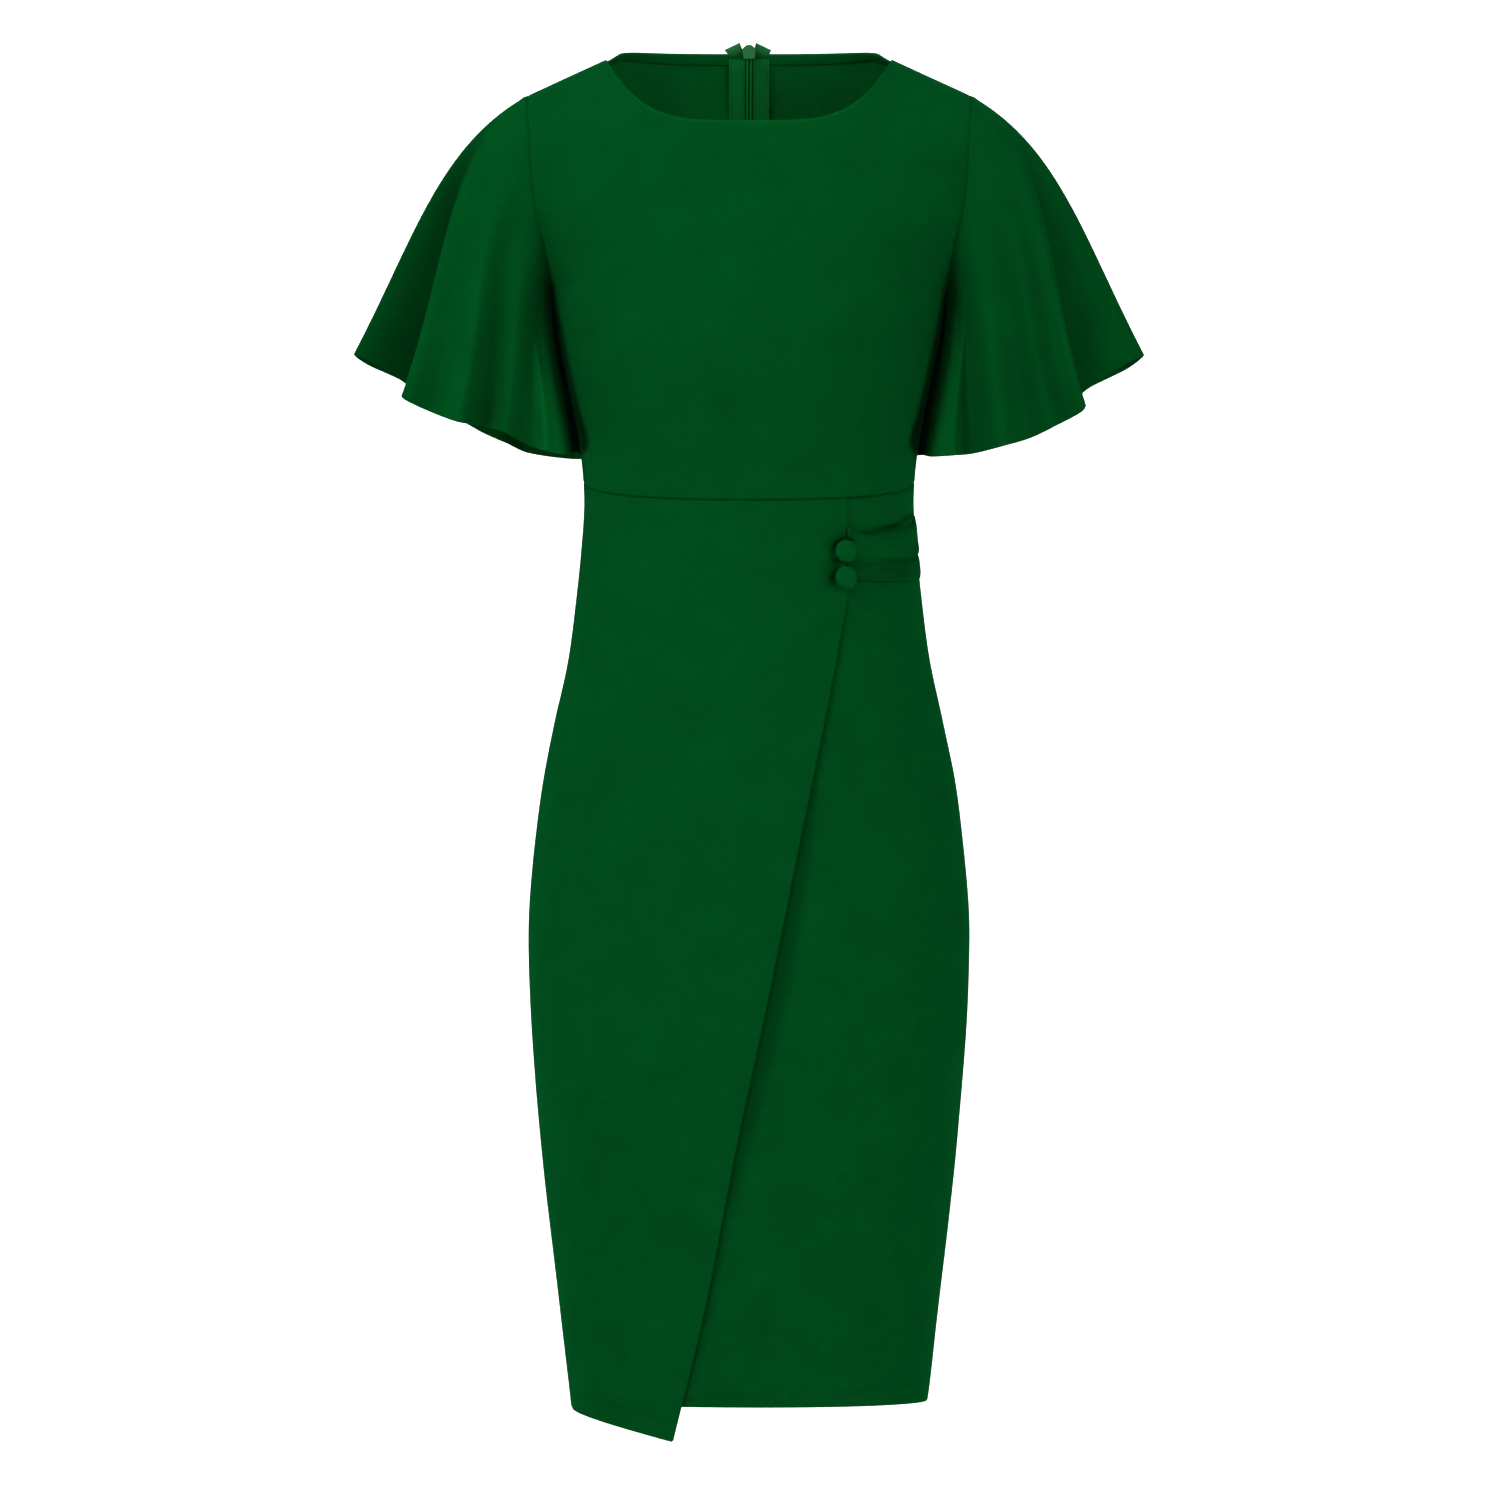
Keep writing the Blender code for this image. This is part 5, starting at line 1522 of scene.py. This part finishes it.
def tape_group():
    """The ribs of a woven tape."""
    tree, start, end = new_group("tape weave", {"Rib size": RIB}, ("Height", "Tone"))
    place = tree.nodes.new("ShaderNodeTexCoord").outputs["Object"]
    parts = tree.nodes.new("ShaderNodeSeparateXYZ")
    tree.links.new(place, parts.inputs["Vector"])
    ribs = []
    for axis in ("X", "Z"):
        turns = math_node(tree, "DIVIDE", parts.outputs[axis], start.outputs["Rib size"])
        ribs.append(math_node(tree, "SINE", math_node(tree, "MULTIPLY", turns, 2 * pi)))
    both = math_node(tree, "MULTIPLY", *ribs)
    tree.links.new(both, end.inputs["Height"])
    tone = math_node(tree, "ADD", math_node(tree, "MULTIPLY", both, RIB_TONE), 1.0)
    tree.links.new(tone, end.inputs["Tone"])
    return tree


TAPE_WEAVE = tape_group()


def tape_material(name, colour, rib, rough):
    """Smooth woven tape."""
    material, _ = grouped_material(name, colour, TAPE_WEAVE, {"Rib size": rib}, bump=0.25,
                                   bump_deep=0.0002, rough=rough, specular=0.12)
    return material


def lacquer(name, colour):
    """Painted metal."""
    material = bpy.data.materials.new(name)
    material.use_nodes = True
    inputs = material.node_tree.nodes["Principled BSDF"].inputs
    inputs["Base Color"].default_value = (*colour, 1)
    inputs["Roughness"].default_value = 0.38
    inputs["Specular IOR Level"].default_value = 0.3
    return material


# Painted light: the tape and the coil are painted much lighter than the dress's green, as they show inside
# the neck where little light reaches.
tape_green = tape_material("green tape", (0.0010, 0.165, 0.0270), RIB, 0.6)
coil_green = tape_material("green coil", (0.0012, 0.215, 0.0340), 0.0005, 0.45)
slider_green = lacquer("green lacquer", (0.0030, 0.108, 0.0200))
print("materials:", tape_green.name + ",", coil_green.name, "and", slider_green.name)

# %% Zip sizes
TAPE_WIDE = 0.0120
TAPE_COLUMNS = (0, 0.0003, 0.0007, 0.0011, 0.002, 0.004, 0.006, 0.008, 0.0095, 0.0105,
                0.0111, 0.0115, 0.0118, TAPE_WIDE)
TAPE_ROWS = 260
TAPE_FROM_CENTRE = 0.0031
TAPE_IN = 0.0029          # how deep beneath the back's outside the tape lies
TAPE_THICK = 0.0008
ZIP_END = -0.505
ZIP_TOP = 0.0060
TAPE_FOLD_DOWN = 0.0022   # how far beneath the neckline the tape folds back
TAPE_EAR = (0.0160, 0.0102)     # levels of an ear's peak at the inner and the outer edge
EAR_ROWS = 22
EAR_SPREAD = {"left": 0.0020, "right": 0.0040}   # how far it leans out
EAR_LEAN = 0.0010         # how far its top leans to the back
EAR_PROUD = 0.0016        # how far it bulges to the front

# Lines along a tape: distance from its inner edge, width, and how much darker, paler or higher.
DARK_LINES = table(
    "across wide amount",
    (0.0107, 0.0003, 0.40), (0.0013, 0.0004, 0.35),
)
PALE_LINES = table(
    "across wide amount",
    (0.0118, 0.0004, 0.45),
)
RAISED_LINES = table(
    "across wide amount",
    (0.0117, 0.0005, 0.0003), (0.0004, 0.0004, 0.0002),
)
# Painted shades: dark in the fold under an ear and on the ear, and lighter on its rim, which catches the
# light; and how many rows the fold and the rim take.
EAR_FOLD_SHADE = 0.25
EAR_FOLD_ROWS = 3
EAR_SHADE = 0.48
EAR_RIM_SHADE = 0.85
EAR_RIM_ROWS = 2

COIL_PITCH = 0.0012
COIL_ROWS = 4             # rows of points for each turn
COIL_ARC = 9              # points round a half tube
COIL_HALF = 0.0011        # half the width of one coil
COIL_FROM_CENTRE = 0.00135
COIL_PROUD = 0.0007
COIL_CLOTH = 0.0006
RIB_LOW = 0.55            # height between two ribs, beside a rib's 1
COIL_SHADES = (0.25, 0.95)      # painted shade at the edges of a half tube, and how much painted light is added on its top
RIB_SHADE_LOW = 0.6       # painted light between two ribs, beside a rib's 1
print("coil:", int((ZIP_TOP - ZIP_END) / COIL_PITCH), "turns")


# %% The back's inside
def back_column(x, z):
    """Points of the back at a distance from the centre, and their normals."""
    point = body(column_at(x, z, True), z, True)
    across = body(column_at(x - PROBE_BESIDE, z, True), z, True) - point
    along = body(column_at(x, z + PROBE_BESIDE, True), z + PROBE_BESIDE, True) - point
    return point, unit(np.cross(across, along))


print("the zip's top lies", round(1000 * float(back_column(0.0, 0.0)[0][1])), "mm behind the side seams")


# %% Tapes
def lines_across(lines, across):
    """The sum of a table's lines at each column of a tape."""
    return sum(row.amount * hump(across - row.across, row.wide) for row in lines)


def tape_ear(top, z_top, share, spread):
    """Rows over the neck, where the tape folds back on itself: a crease and a leaning ear over it."""
    rows = []
    peak = TAPE_EAR[0] + (TAPE_EAR[1] - TAPE_EAR[0]) * share
    for t in np.linspace(0, 1, EAR_ROWS)[1:]:
        row = top.copy()
        row[:, 2] = z_top + (peak - z_top) * t
        row[:, 0] += spread * t
        row[:, 1] -= EAR_PROUD * sin(pi * t) ** 0.7 * (1 - 0.5 * share) - EAR_LEAN * t
        rows.append(row)
    return np.array(rows)


def make_tape(side):
    """One tape with its ear at the neck."""
    across = np.array(TAPE_COLUMNS)
    x = TAPE_FROM_CENTRE + across
    z_top = neck_edge(x, True) - TAPE_FOLD_DOWN
    z = ZIP_END + (z_top - ZIP_END) * np.linspace(0, 1, TAPE_ROWS)[:, None]
    point, normal = back_column(np.broadcast_to(x, z.shape), z)
    points = point - normal * TAPE_IN
    points = np.concatenate([points, tape_ear(points[-1], z_top, across / TAPE_WIDE, EAR_SPREAD[side])])
    shade = np.ones(points.shape[:2])
    shade *= 1 - lines_across(DARK_LINES, across)
    shade += lines_across(PALE_LINES, across)
    shade[TAPE_ROWS - 1:TAPE_ROWS + EAR_FOLD_ROWS] *= EAR_FOLD_SHADE
    shade[TAPE_ROWS + EAR_FOLD_ROWS:] *= EAR_SHADE
    shade[-EAR_RIM_ROWS:] = EAR_RIM_SHADE
    edge = lines_across(RAISED_LINES, across)
    # Seen from inside the dress the tape's face is its inner side, so the grid turns that way.
    if side == "right":
        points[..., 0] *= -1
        points, shade, edge = points[:, ::-1], shade[:, ::-1], edge[::-1]
    points = points + facing(points) * edge[:, None]
    piece = cloth(f"zip_tape_{side}_cloth", [(points, shade)], tape_green, "zip_tape", thick=TAPE_THICK)
    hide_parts(f"zip_tape_{side}")
    round(area(points), 5)


make_tape("left")
make_tape("right")


# %% Coil
def make_coil():
    """Both halves of the closed coil, as ribbed half tubes on the tapes' inner edges."""
    count = int((ZIP_TOP - ZIP_END) / COIL_PITCH) * COIL_ROWS
    z = np.linspace(ZIP_END, ZIP_TOP, count)[:, None]
    turn = np.linspace(0, pi, COIL_ARC)
    grids = []
    for sign in (-1, 1):
        x = sign * COIL_FROM_CENTRE - COIL_HALF * np.cos(turn)
        z_all, x_all = np.broadcast_arrays(z, x)
        point, normal = back_column(x_all, z_all)
        rib = 0.5 + 0.5 * np.cos(2 * pi * (z_all / COIL_PITCH + sign * 0.25))
        rise = COIL_PROUD * (RIB_LOW + (1 - RIB_LOW) * rib) * np.sin(turn)
        points = point - normal * (TAPE_IN + rise)[..., None]
        # Painted light on the coil: lighter on the top of each half tube and on its ribs, darker at its
        # edges.
        light = (RIB_SHADE_LOW + (1 - RIB_SHADE_LOW) * rib) * np.sin(turn) ** 3
        grids.append((points, COIL_SHADES[0] + COIL_SHADES[1] * light))
    piece = cloth("zip_coil", grids, coil_green, "zip_chain", thick=COIL_CLOTH)
    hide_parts("zip_chain")


make_coil()

# %% Slider and pull
for node in ("zip_slider", "zip_pull"):
    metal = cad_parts[node]
    metal.data.materials.clear()
    metal.data.materials.append(slider_green)
    print(node, "lacquered")

# %% Bounds of the frame and of the dressed scene
boxes = {"cad": cad_box, "visual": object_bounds()}
{name: [list(corner) for corner in box] for name, box in boxes.items()}
